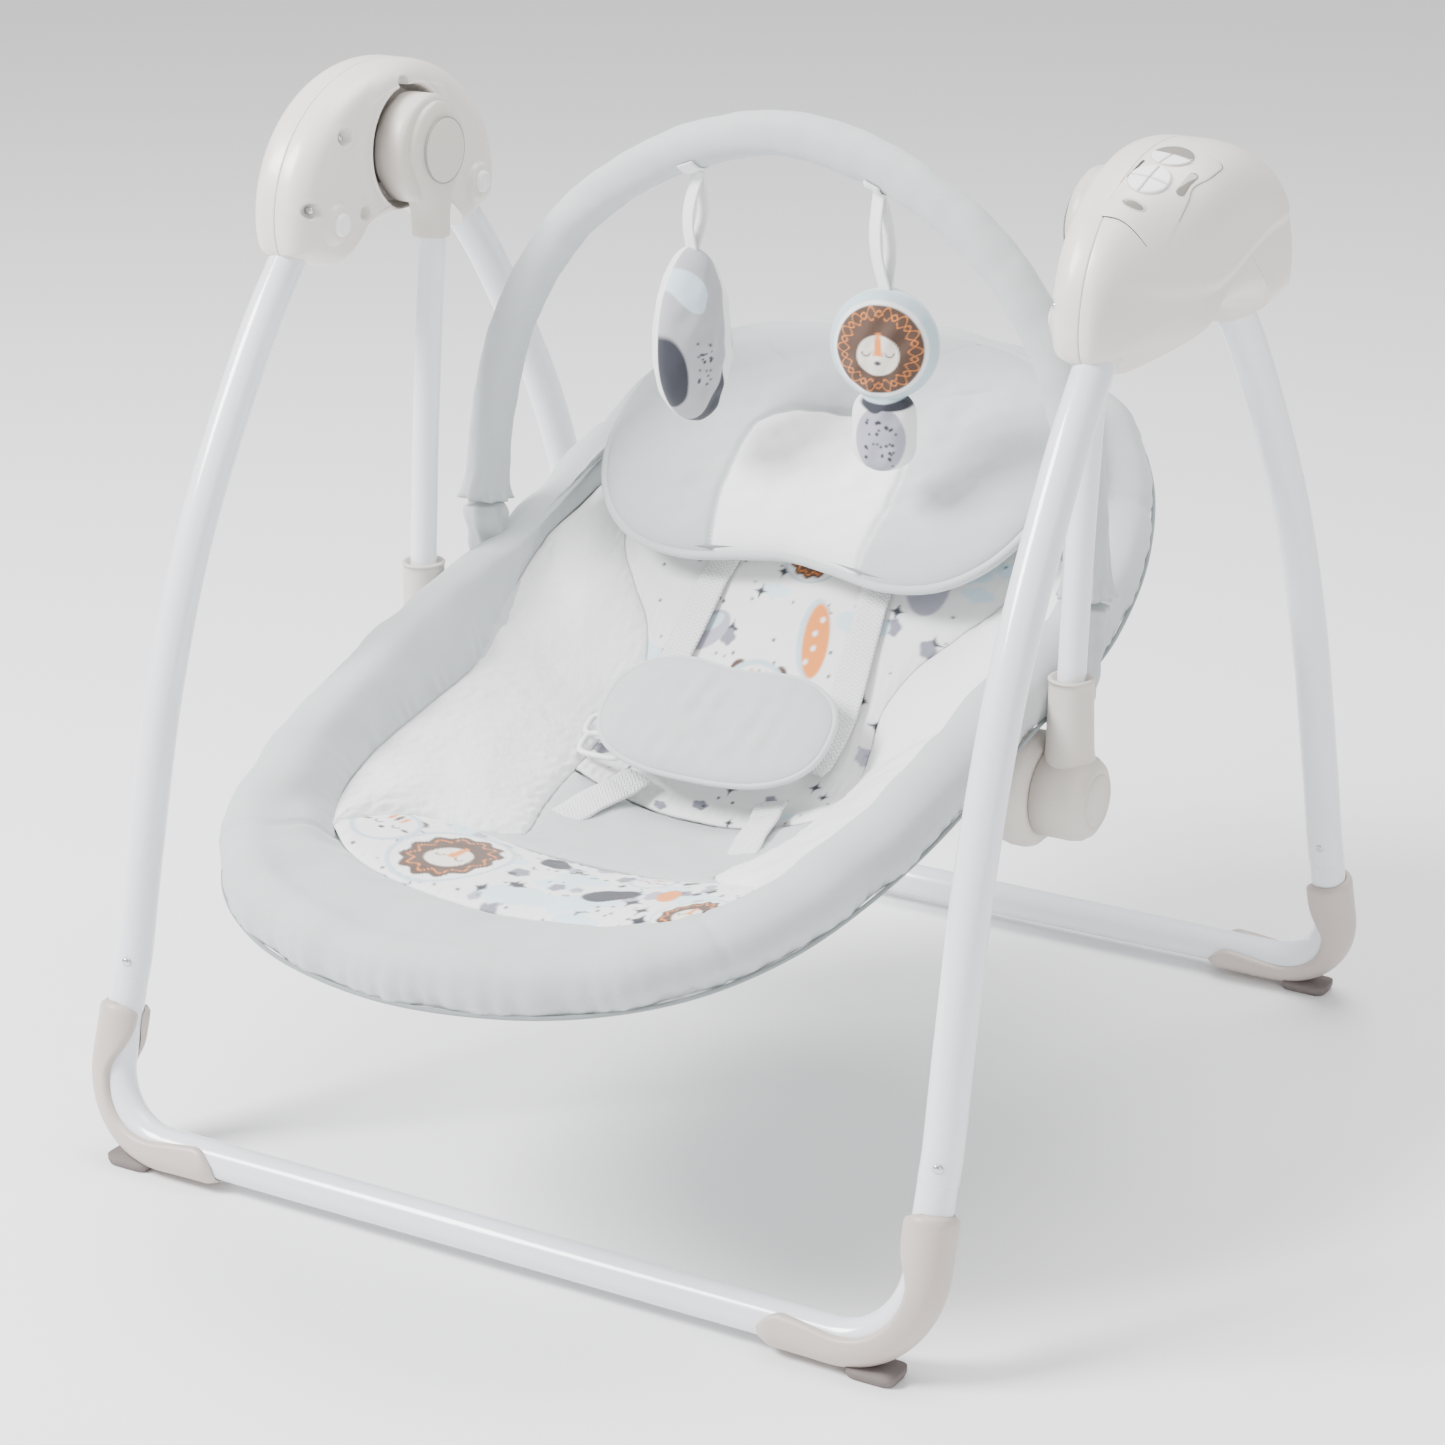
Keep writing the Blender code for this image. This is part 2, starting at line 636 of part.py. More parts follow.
def build_heads():
    for label, side in SIDES:
        inner = head_shell(f"{label}_head_inner_shell", side, HEAD_SEAM_X, INNER_LEVELS,
                           lambda y, z: HEAD_INNER_X - HEAD_SEAM_X, 0.0, -1)
        hole = cylinder(f"cut_{label}_drum_hole", (side * HEAD_INNER_X, 0, SWING_Z),
                        DRUM_R + 0.0030, 0.02, turn_x(1), 24)
        boolean(inner, cutter(hole))
        for _, end in ENDS:
            hole = cylinder(f"cut_{label}_button_{end}",
                            (side * HEAD_INNER_X, end * FOLD_BUTTON_Y, FOLD_BUTTON_Z),
                            FOLD_BUTTON_R + 1.5 * GAP, 0.02, turn_x(1), 16)
            boolean(inner, cutter(hole))
        leg_openings(inner, label, side)
        adopt(inner, ROOT, "head_plastic")

    plain = head_shell("left_head_outer_shell", -1, HEAD_SEAM_X + 2 * GAP, OUTER_LEVELS,
                       lambda y, z: LEFT_DEPTH)
    leg_openings(plain, "left", -1)
    adopt(plain, ROOT, "head_plastic")

    motor = head_shell("motor_housing", 1, HEAD_SEAM_X + 2 * GAP, MOTOR_LEVELS, motor_bulge)
    leg_openings(motor, "right", 1, "MANIFOLD")
    window = prism("cut_panel_window", panel_outline(GAP), PANEL_PLACE, 0.016)
    boolean(motor, cutter(window))
    adopt(motor, ROOT, "head_plastic")

    panel = panel_piece("control_panel", panel_outline(0.0), 0.0)
    for index, cy in enumerate((KEYPAD_Y, DISPLAY_Y)):
        rim = arc(KEYS_X, cy, KEY_R + GAP, KEY_R + GAP, 0, 345, 24)
        boolean(panel, cutter(prism(f"cut_key_hole_{index}", rim, PANEL_PLACE, 0.016)))
    return adopt(panel, ROOT, "head_plastic")


def panel_piece(name, outline, lift):
    """Part of the motor head's own curved surface, inside an outline."""
    piece = head_shell(name, 1, HEAD_SEAM_X + 2 * GAP, MOTOR_LEVELS, motor_bulge, lift)
    boolean(piece, cutter(prism(f"cut_{name}", outline, PANEL_PLACE, 0.0159)), "INTERSECT")
    return piece


def sector(cy, radius, start, end, inset):
    """Slice of a disc, kept clear of its neighbours by an inset."""
    middle = math.radians((start + end) / 2)
    push = inset / math.sin(math.radians((end - start) / 2))
    ox, oy = push * math.cos(middle), push * math.sin(middle)
    rim = arc(ox, oy, radius - push, radius - push, start, end, 8)
    return [(KEYS_X + x, cy + y) for x, y in [(ox, oy)] + rim]


def build_keys():
    quarters = ("speed_key", "timer_key", "music_key", "volume_key")
    slices = [(name, KEYPAD_Y, 90 * k, 90 * k + 90) for k, name in enumerate(quarters)]
    slices.append(("power_key", DISPLAY_Y, 180, 359.9))
    for name, cy, start, end in slices:
        owner = body(name + "_travel", PANEL_ORIGIN)
        shape = sector(cy, KEY_R, start, end, KEY_GAP)
        adopt(panel_piece(name, shape, KEY_PROUD), owner, "key_white")
    shape = sector(DISPLAY_Y, KEY_R, 0, 179.9, KEY_GAP)
    adopt(panel_piece("display_lens", shape, 0.0002), ROOT, "lens")


build_heads()
build_keys()


# ---------------------------------------------------------------- pivots, drive
def build_pivot_plate(label, side):
    """Plate behind the drum: bearing for the axle and a peg for each leg."""
    x0 = HEAD_INNER_X + WALL + GAP
    half = 0.0012
    place = Matrix.Translation((side * (x0 + half), 0, SWING_Z)) @ YZ_PLANE
    outline = arc(0, 0, 0.0440, 0.0220, 0, 345, 24)
    plate = prism(f"pivot_plate_{label}", outline, place, half)
    collar = cylinder(f"cut_{label}_collar", (side * (x0 + 0.0045), 0, SWING_Z),
                      AXLE_R + 0.004, 0.009, turn_x(1), 20)
    boolean(plate, cutter(collar), "UNION")
    for _, end in ENDS:
        length = LEG_TOP_X + TUBE_R + 0.0015 - x0
        peg = cylinder(f"cut_{label}_peg_{end}",
                       (side * (x0 + length / 2), end * FOLD_PIVOT_Y, FOLD_PIVOT_Z),
                       FOLD_PEG_R, length, turn_x(1), 16)
        boolean(plate, cutter(peg), "UNION")
    bore = cylinder(f"cut_{label}_axle_bore", (side * (x0 + 0.004), 0, SWING_Z),
                    AXLE_R + GAP, 0.03, turn_x(1), 20)
    boolean(plate, cutter(bore))
    return adopt(plate, ROOT, "steel")


def build_fold_button(label, side, end_name, end):
    owner = body(f"{end_name}_fold_button_{label}_travel",
                 (side * HEAD_INNER_X, end * FOLD_BUTTON_Y, FOLD_BUTTON_Z))
    flange = HEAD_INNER_X + WALL + 0.0004
    profile = [(0, 0.2440), (0.0045, 0.2440), (0.0045, flange + 0.0013),
               (FOLD_BUTTON_R + 0.0015, flange + 0.0013), (FOLD_BUTTON_R + 0.0015, flange),
               (FOLD_BUTTON_R, flange), (FOLD_BUTTON_R, 0.2330),
               (FOLD_BUTTON_R - 0.001, 0.2315), (0, 0.2312)]
    button = turned(f"{end_name}_fold_button_{label}", profile,
                    (0, end * FOLD_BUTTON_Y, FOLD_BUTTON_Z), turn_x(side), 12)
    return adopt(button, owner, "key_white")


def gear_outline(teeth, phase):
    """Straight-flanked teeth about the pitch circle."""
    pitch_r = GEAR_MODULE * teeth / 2
    tip, root = pitch_r + 0.75 * GEAR_MODULE, pitch_r - 1.05 * GEAR_MODULE
    step = 2 * math.pi / teeth
    points = []
    for tooth in range(teeth):
        middle = tooth * step + phase
        for radius, share in ((root, -0.30), (tip, -0.13), (tip, 0.13), (root, 0.30)):
            angle = middle + share * step
            points.append((radius * math.cos(angle), radius * math.sin(angle)))
    return points


def build_drive():
    middle = sum(GEAR_X) / 2
    half = (GEAR_X[1] - GEAR_X[0]) / 2
    gear = prism("swing_gear", gear_outline(GEAR_TEETH, 0.0),
                 Matrix.Translation((middle, 0, SWING_Z)) @ YZ_PLANE, half)
    bore = cylinder("cut_gear_bore", (middle, 0, SWING_Z), AXLE_R + GAP, 0.02, turn_x(1), 20)
    boolean(gear, cutter(bore))
    adopt(gear, SWING, "gear_nylon", smooth=False)

    spacing = GEAR_MODULE * (GEAR_TEETH + PINION_TEETH) / 2
    shaft_z = SWING_Z + spacing
    spin = body("pinion_spin", (middle, 0, shaft_z))
    pinion = prism("drive_pinion", gear_outline(PINION_TEETH, 0.0),
                   Matrix.Translation((middle, 0, shaft_z)) @ YZ_PLANE, half)
    shaft = cylinder("cut_pinion_shaft", (GEAR_X[0] - 0.004, 0, shaft_z), 0.0012, 0.010,
                     turn_x(1), 12)
    boolean(pinion, cutter(shaft), "UNION")
    adopt(pinion, spin, "gear_nylon", smooth=False)

    face = GEAR_X[0] - 0.0030
    profile = [(0, face - 0.008), (0.0015, face - 0.008), (0.0015, face), (0.0095, face),
               (0.0105, face - 0.001), (0.0105, 0.2450), (0.0095, 0.2440), (0, 0.2440)]
    motor = turned("drive_motor", profile, (0, 0, shaft_z), turn_x(1), 20)
    adopt(motor, ROOT, "steel")

    board_place = PANEL_PLACE @ Matrix.Translation((-0.0005, -0.001, -0.0125))
    board = box("circuit_board", (0, 0, 0), (0.026, 0.046, 0.0016), board_place)
    adopt(board, ROOT, "board_green", smooth=False)

    pack = cylinder("battery_pack", (0.2872, -0.0370, 0.5460), 0.0070, 0.046,
                    AXIS_TURN["Z"], 16)
    second = cylinder("cut_battery_second", (0.2872, -0.0505, 0.5460), 0.0070, 0.046,
                      AXIS_TURN["Z"], 16)
    boolean(pack, cutter(second), "UNION")
    adopt(pack, ROOT, "battery")


for side_name, side_sign in SIDES:
    build_pivot_plate(side_name, side_sign)
    for end_name, end_sign in ENDS:
        build_fold_button(side_name, side_sign, end_name, end_sign)
build_drive()


# ---------------------------------------------------------------- swing arms
def arm_knots(side):
    x = side * ARM_X
    return [(x, 0.0020, 0.530), (x, 0.0018, 0.500), (x, -0.0040, 0.455),
            (x, -0.0115, 0.390), (x, -0.0165, 0.335), (x, HUB_Y, 0.300), (x, HUB_Y, 0.264)]


def build_arm(label, side):
    path = smooth_path(arm_knots(side), 12)
    adopt(tube(f"swing_arm_{label}", path, ARM_R, 3), SWING, "tube_white")

    back = HEAD_INNER_X + WALL - 0.0004
    axle_end = GEAR_X[1] + 0.003 if side > 0 else HEAD_INNER_X + WALL + 0.011
    profile = [(0, axle_end), (AXLE_R, axle_end), (AXLE_R, back), (DRUM_R - 0.001, back),
               (DRUM_R, back - 0.001), (DRUM_R, 0.2190), (0.0315, 0.2145), (0.0270, 0.2112),
               (0.0190, DRUM_OUT_X), (0, DRUM_OUT_X)]
    drum = turned(f"swing_hub_{label}", profile, (0, 0, SWING_Z), turn_x(side), 24)
    down = cylinder(f"cut_{label}_upper_socket", (side * ARM_X, 0.0015, 0.5260),
                    0.0112, 0.0460, AXIS_TURN["Z"], 20, 0.0145)
    boolean(drum, cutter(down), "UNION")
    bore = tube(f"cut_{label}_arm_top", lengthened(path, GAP), ARM_R + GAP, 3)
    boolean(drum, cutter(bore))
    adopt(drum, SWING, "hub_plastic")

    inner = RECLINE_X[1] + 0.0006
    profile = [(0, HUB_OUT_X), (0.0145, HUB_OUT_X - 0.0004), (0.0205, HUB_OUT_X - 0.0030),
               (0.0242, HUB_OUT_X - 0.0075), (HUB_R, HUB_OUT_X - 0.0130),
               (HUB_R, inner + 0.0015), (HUB_R - 0.0012, inner), (0.0060, inner),
               (0.0060, inner - 0.0085), (0, inner - 0.0085)]
    hub = turned(f"recline_hub_{label}", profile, (0, HUB_Y, HUB_Z), turn_x(side), 24)
    up = cylinder(f"cut_{label}_lower_socket", (side * ARM_X, HUB_Y, 0.2730),
                  0.0122, 0.0570, AXIS_TURN["Z"], 20, 0.0114)
    boolean(hub, cutter(up), "UNION")
    bore = tube(f"cut_{label}_arm_foot", lengthened(path, GAP), ARM_R + GAP, 3)
    boolean(hub, cutter(bore))
    adopt(hub, SWING, "hub_plastic")


for side_name, side_sign in SIDES:
    build_arm(side_name, side_sign)


# ---------------------------------------------------------------- seat frame
RING = [(0.0, -0.358, 0.203), (0.060, -0.350, 0.205), (0.105, -0.331, 0.209),
        (0.140, -0.303, 0.216), (0.165, -0.262, 0.226), (0.179, -0.215, 0.238),
        (0.187, -0.160, 0.252), (0.190, -0.100, 0.268), (0.190, -0.040, 0.283),
        (0.190, 0.020, 0.294), (0.189, 0.070, 0.309), (0.182, 0.120, 0.336),
        (0.163, 0.163, 0.368), (0.128, 0.193, 0.392), (0.070, 0.209, 0.405),
        (0.0, 0.214, 0.409)]
HOOP_X = 0.196
FRONT_HOOP = RING[:6] + [(0.187, -0.160, 0.2475), (0.192, -0.115, 0.2440),
                         (HOOP_X, -0.075, 0.2395), (HOOP_X, HUB_Y - 0.012, 0.2335)]
BACK_HOOP = RING[:9:-1] + [(0.192, 0.040, 0.2880), (HOOP_X, 0.0150, 0.2600),
                           (HOOP_X, HUB_Y + 0.010, 0.2400)]


def build_seat_frame():
    paths = {"seat_hoop": smooth_path(mirrored(FRONT_HOOP), 40),
             "backrest_hoop": smooth_path(mirrored(BACK_HOOP), 40)}
    for name, path in paths.items():
        adopt(tube(name, path, HOOP_R, 2), SEAT, "tube_white")
    for label, side in SIDES:
        near, far = RECLINE_X
        profile = [(0, far - 0.0095), (0.0063, far - 0.0095), (0.0063, far),
                   (RECLINE_R - 0.0020, far), (RECLINE_R, far - 0.0020),
                   (RECLINE_R, near + 0.0050), (RECLINE_R - 0.0040, near), (0, near)]
        disc = turned(f"recline_disc_{label}", profile, (0, HUB_Y, HUB_Z), turn_x(side), 24)
        for name, path in paths.items():
            whole = lengthened(path, GAP)
            near_end = whole[:8] if side < 0 else whole[-8:]
            boolean(disc, cutter(tube(f"cut_{label}_{name}", near_end, HOOP_R + 2 * GAP, 2)))
        adopt(disc, SEAT, "hub_plastic")
    return paths


def build_rim(paths):
    """Padded sleeves over the two hoops."""
    for name, path, limit in (("front_rim_pad", paths["seat_hoop"], -0.165),
                              ("back_rim_pad", paths["backrest_hoop"], 0.070)):
        covered = [p for p in path if (p[1] < limit if limit < 0 else p[1] > limit)]
        adopt(sleeve(name, covered, RIM_R, RIM_R - HOOP_R - 0.0013), SEAT, "grey_fabric")


SEAT_ROWS = ((-0.334, 0.209, 0.040, -0.331, 0.210), (-0.300, 0.208, 0.092, -0.300, 0.214),
             (-0.255, 0.205, 0.130, -0.255, 0.225), (-0.205, 0.199, 0.149, -0.205, 0.243),
             (-0.150, 0.192, 0.157, -0.150, 0.259), (-0.100, 0.187, 0.159, -0.100, 0.272),
             (-0.062, 0.187, 0.159, -0.058, 0.283))
BACK_ROWS = ((-0.050, 0.191, 0.159, -0.045, 0.286), (-0.012, 0.218, 0.159, -0.004, 0.294),
             (0.022, 0.255, 0.159, 0.032, 0.301), (0.056, 0.292, 0.158, 0.070, 0.314),
             (0.095, 0.324, 0.153, 0.108, 0.334), (0.132, 0.352, 0.138, 0.140, 0.356),
             (0.165, 0.376, 0.105, 0.168, 0.377), (0.186, 0.391, 0.060, 0.187, 0.392))


def dished(rows, count=13):
    """Cushion surface: a centre line rising to raised side edges."""
    made = []
    for y_mid, z_mid, half, y_edge, z_edge in rows:
        row = []
        for u in np.linspace(-1, 1, count):
            rise = abs(u) ** 2.6
            row.append((half * u, y_mid + (y_edge - y_mid) * rise,
                        z_mid + (z_edge - z_mid) * rise))
        made.append(row)
    return made


def on_cushion(rows, at, x, lift):
    """Point a little above a cushion: row number (may fall between rows) and X."""
    low = min(int(at), len(rows) - 2)
    share = at - low
    y_mid, z_mid, half, y_edge, z_edge = [
        (1 - share) * a + share * b for a, b in zip(rows[low], rows[low + 1])]
    rise = (abs(x) / half) ** 2.6
    step_y = rows[low + 1][0] - rows[low][0]
    step_z = rows[low + 1][1] - rows[low][1]
    size = math.hypot(step_y, step_z)
    return (x, y_mid + (y_edge - y_mid) * rise - lift * step_z / size,
            z_mid + (z_edge - z_mid) * rise + lift * step_y / size)


def build_cushions():
    seat = grid("seat_cushion", dished(SEAT_ROWS), -CUSHION, facing=(0, 0, 1))
    adopt(seat, SEAT, "white_fabric")
    back = grid("back_cushion", dished(BACK_ROWS), -CUSHION, facing=(0, -0.5, 1))
    adopt(back, SEAT, "white_fabric")
    slope = Matrix.Rotation(math.radians(37), 4, "X")
    pillow = ball("headrest_pillow", (0, 0.1210, 0.3725), (0.290, 0.150, 0.030), slope, 20, 8)
    adopt(pillow, SEAT, "grey_fabric")
    tilt = Matrix.Rotation(math.radians(38), 4, "X")
    pad = ball("harness_pad", (0, -0.0380, 0.2405), (0.150, 0.082, 0.014), tilt, 20, 8)
    adopt(pad, SEAT, "grey_fabric")
    buckle = box("harness_buckle", (0, -0.0340, 0.2245), (0.040, 0.032, 0.010), tilt, 0.002)
    adopt(buckle, SEAT, "key_white")
    for label, side in SIDES:
        rows = []
        for across in (-0.5, 0.0, 0.5):
            x = across * STRAP_WIDTH
            run = [on_cushion(BACK_ROWS, 3.0 - 0.5 * k, side * (0.050 + 0.002 * k) + x, 0.0030)
                   for k in range(6)]
            run += [on_cushion(SEAT_ROWS, 6.0 - 0.5 * k, side * (0.060 + 0.002 * k) + x, 0.0030)
                    for k in range(4)]
            rows.append(run)
        rows = [list(row) for row in zip(*rows)]
        strap = grid(f"harness_strap_{label}", rows, STRAP_THICK, facing=(0, -0.6, 0.8))
        adopt(strap, SEAT, "webbing")


HOOP_PATHS = build_seat_frame()
build_rim(HOOP_PATHS)
build_cushions()


# ---------------------------------------------------------------- toy bar
ARCH_HALF_X = 0.2081
ARCH_FOOT_Z = 0.2398
ARCH_RISE = 0.3380
ARCH_LEAN = 0.0769              # change of y per height
ARCH_POWER = (1.20, 0.527)


def arch_point(angle):
    """Point on the toy bar's flattened arch; angle runs over the top."""
    c, s = math.cos(angle), math.sin(angle)
    x = ARCH_HALF_X * math.copysign(abs(c) ** ARCH_POWER[0], c)
    z = ARCH_FOOT_Z + ARCH_RISE * abs(s) ** ARCH_POWER[1]
    return (x, 0.0276 + ARCH_LEAN * (z - 0.32), z)


def arch_angle(half_x):
    """Angle at which the arch reaches a half width."""
    return math.acos((half_x / ARCH_HALF_X) ** (1 / ARCH_POWER[0]))


def build_toy_bar():
    first = math.asin(((0.334 - ARCH_FOOT_Z) / ARCH_RISE) ** (1 / ARCH_POWER[1]))
    fine = [arch_point(a) for a in np.linspace(first, math.pi - first, 80)]
    path = smooth_path(fine, 34)
    adopt(tube("toy_bar", path, TOY_BAR_R, 3), TOY_BAR, "grey_fabric")
    for label, side in SIDES:
        foot = arch_point(first)
        low = Vector((side * (HOOP_X + 0.0005), 0.0290, 0.2600))
        high = Vector((side * foot[0], foot[1], foot[2] - 0.0062))
        path = [tuple(low), tuple(low.lerp(high, 0.5)), tuple(high)]
        mount = tube(f"toy_bar_mount_{label}", path, 0.0110, 3)
        for name, line in HOOP_PATHS.items():
            hoop = tube(f"cut_mount_{label}_{name}", line, HOOP_R + 1.5 * GAP, 2)
            boolean(mount, cutter(hoop))
        adopt(mount, SEAT, "shoe_plastic")


def build_toy(label, side, size, drop):
    """Plush on a ribbon that loops round the bar and swings about it."""
    angle = arch_angle(TOY_X)
    centre = Vector(arch_point(angle))
    ahead = Vector(arch_point(angle + 0.01)) - Vector(arch_point(angle - 0.01))
    centre.x *= side
    ahead.x *= side
    owner = body(f"toy_swing_{label}", centre - Vector(TOY_PIVOT) + Vector(TOY_PIVOT), TOY_BAR)
    turn = frame_along(ahead if ahead.x > 0 else -ahead)
    inner = TOY_BAR_R + 0.0030
    outer = inner + 0.0016
    profile = [(inner, -0.006), (inner, 0.006), (outer, 0.006), (outer, -0.006), (inner, -0.006)]
    toy = turned(f"toy_{label}", profile, centre, turn, 20)
    ribbon_top = centre.z - outer + 0.0010
    low = centre.z - drop
    strip = box(f"cut_ribbon_{label}", (centre.x, centre.y, (ribbon_top + low) / 2),
                (0.011, 0.0016, ribbon_top - low))
    boolean(toy, cutter(strip), "UNION")
    plush = ball(f"cut_plush_{label}", (centre.x, centre.y, low + 0.004 - size[2] / 2),
                 size, Matrix.Rotation(math.radians(25), 4, "Z"), 14, 10)
    boolean(toy, cutter(plush), "UNION")
    adopt(toy, owner, "plush")
    return centre, ahead.normalized()


build_toy_bar()
TOYS = [build_toy("left", -1, (0.042, 0.066, 0.106), 0.0640),
        build_toy("right", 1, (0.066, 0.040, 0.108), 0.0740)]


# ---------------------------------------------------------------- centring
def centre_on_floor():
    """Move the whole swing so that its box is centred over the origin."""
    bpy.context.view_layer.update()
    graph = bpy.context.evaluated_depsgraph_get()
    low = np.full(3, np.inf)
    high = np.full(3, -np.inf)
    for obj in PARTS.objects:
        if obj.type != "MESH":
            continue
        ready = obj.evaluated_get(graph)
        mesh = ready.to_mesh()
        points = np.empty(len(mesh.vertices) * 3)
        mesh.vertices.foreach_get("co", points)
        world = np.array(ready.matrix_world)
        points = points.reshape(-1, 3) @ world[:3, :3].T + world[:3, 3]
        ready.to_mesh_clear()
        low = np.minimum(low, points.min(axis=0))
        high = np.maximum(high, points.max(axis=0))
    middle = (low + high) / 2
    ROOT.location = (-middle[0], -middle[1], -low[2])
    bpy.context.view_layer.update()


centre_on_floor()
print("origin moved by", tuple(round(v, 6) for v in ROOT.location))
for place, direction in TOYS:
    print("toy pivot", tuple(round(v, 5) for v in place), tuple(round(v, 5) for v in direction))
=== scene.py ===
"""Folding baby swing with a padded seat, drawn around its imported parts.
Units are metres.  Shapes are worked out in a frame centred between the four
feet, with the seat facing -Y and the motor head on +X."""
import math

import bpy
import numpy as np
from mathutils import Matrix, Vector


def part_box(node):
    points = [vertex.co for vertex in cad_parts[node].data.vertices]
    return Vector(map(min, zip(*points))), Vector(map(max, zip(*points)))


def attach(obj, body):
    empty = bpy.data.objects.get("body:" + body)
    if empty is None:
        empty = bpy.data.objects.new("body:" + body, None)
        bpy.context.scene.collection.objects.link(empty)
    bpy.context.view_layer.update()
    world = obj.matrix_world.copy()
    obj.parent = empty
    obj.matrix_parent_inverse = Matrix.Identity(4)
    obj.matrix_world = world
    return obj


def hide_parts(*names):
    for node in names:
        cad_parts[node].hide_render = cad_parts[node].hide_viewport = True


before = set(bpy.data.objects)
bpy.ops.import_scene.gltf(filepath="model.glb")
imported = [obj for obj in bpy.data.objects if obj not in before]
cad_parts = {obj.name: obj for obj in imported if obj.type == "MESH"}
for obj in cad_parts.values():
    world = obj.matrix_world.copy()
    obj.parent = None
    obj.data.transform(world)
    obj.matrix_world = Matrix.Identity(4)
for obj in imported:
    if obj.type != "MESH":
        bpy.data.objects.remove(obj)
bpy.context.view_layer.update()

ENDS = (("front", -1), ("rear", 1))
SIDES = (("left", -1), ("right", 1))
FEET = np.array([np.mean(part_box(f"{end}_foot_pad_{side}"), axis=0)
                 for end, _ in ENDS for side, _ in SIDES])
SHIFT = FEET.mean(axis=0) * (1, 1, 0)     # the shapes' frame to the row frame

TUBE_R = 0.011
BASE_HALF_X = 0.2690
BASE_Y = 0.2916
BASE_Z = 0.0171
TILT = math.radians(18.1)
BEND_R = 0.046
SOCKET_Z = 0.1055
LEG_TOP_X = 0.2620
LEG_TOP_Z = 0.567
SWING_Z = 0.556
HEAD_Z = 0.522
SEAM_X = 0.2603
ARM_X = 0.2220
ARM_R = 0.0082
HUB_Y, HUB_Z = -0.0190, 0.2320
HEAD_FACE_X = 0.2370
HUB_FACE_X = 0.2372
BUTTON_Y, BUTTON_Z = 0.073, 0.522
DRUM_ARM_Y = 0.0012
STRAP_WIDTH = 0.020
HUB_BACK_X, DISC_BACK_X = 0.2091, 0.1840
SCREW_X = 0.2412
BAR_HALF_X, BAR_ROUND = 0.2081, 1.20
TOY_HOOK = (0.0657, 0.04636, 0.56399)      # on the bar's axis, above the right toy
BAR_RUN = (0.93702, -0.02678, -0.34824)    # the bar's direction there


# ---------------------------------------------------------------- curves and grids
def unit(v):
    """Vectors scaled to length one along the last axis."""
    v = np.asarray(v, float)
    return v / np.maximum(np.linalg.norm(v, axis=-1, keepdims=True), 1e-12)


def smooth(edge0, edge1, x):
    """Hermite step from 0 at edge0 to 1 at edge1."""
    t = np.clip((x - edge0) / (edge1 - edge0), 0, 1)
    return t * t * (3 - 2 * t)


def even(points, count):
    """Points spaced evenly along a polyline."""
    points = np.asarray(points, float)
    steps = np.linalg.norm(np.diff(points, axis=0), axis=1)
    along = np.r_[0, np.cumsum(steps)]
    at = np.linspace(0, along[-1], count)
    return np.stack([np.interp(at, along, points[:, k]) for k in range(points.shape[1])], 1)


def spline(knots, count, closed=False):
    """Catmull-Rom curve through the knots, resampled evenly."""
    k = np.asarray(knots, float)
    if closed:
        k = np.vstack([k[-1:], k, k[:2]])
    else:
        k = np.vstack([2 * k[0] - k[1], k, 2 * k[-1] - k[-2]])
    a, b, c, d = (k[i:len(k) - 3 + i, None] for i in range(4))
    t = np.linspace(0, 1, 24, endpoint=False)[None, :, None]
    curve = 0.5 * (2 * b + (c - a) * t + (2 * a - 5 * b + 4 * c - d) * t ** 2
                   + (3 * b - a - 3 * c + d) * t ** 3)
    curve = np.vstack([curve.reshape(-1, k.shape[1]), k[-2:-1]])
    made = even(curve, count + 1 if closed else count)
    return made[:-1] if closed else made


def arc(cx, cy, rx, ry, start, end, count):
    """Points on an ellipse between two angles in degrees."""
    a = np.radians(np.linspace(start, end, count))
    return np.stack([cx + rx * np.cos(a), cy + ry * np.sin(a)], 1)


def waves(x, y, size, seed=0):
    """Smooth random field in about -1..1 with features of the given size."""
    rng = np.random.default_rng(seed)
    total = np.zeros(np.broadcast(x, y).shape)
    for direction, phase, stretch in rng.random((7, 3)):
        k = 2 * math.pi / size * (0.6 + 0.9 * stretch)
        turn = 2 * math.pi * direction
        total += np.sin(k * (x * math.cos(turn) + y * math.sin(turn)) + 7 * phase)
    return total / 3.2


def grid_faces(rows, columns, wrap=False, start=0):
    """Quads between neighbouring rows of a grid, the columns closed if wrap."""
    i = np.arange(rows - 1)[:, None] * columns
    j = np.arange(columns if wrap else columns - 1)[None, :]
    n = (j + 1) % columns
    quads = np.stack([i + j, i + n, i + columns + n, i + columns + j], -1)
    return quads.reshape(-1, 4) + start


def fan(ring, centre):
    """Triangles from a closed ring of point numbers to one point."""
    return np.stack([ring, np.roll(ring, -1), np.full(len(ring), centre)], 1)


def outward(points, faces):
    """The faces turned so that the closed shape they make has a positive volume."""
    total = 0.0
    for group in faces:
        a, b, c = (points[group[:, k]] for k in (0, 1, 2))
        total += np.einsum("ij,ij->i", a, np.cross(b, c)).sum()
        if group.shape[1] == 4:
            d = points[group[:, 3]]
            total += np.einsum("ij,ij->i", a, np.cross(c, d)).sum()
    return faces if total > 0 else [group[:, ::-1] for group in faces]


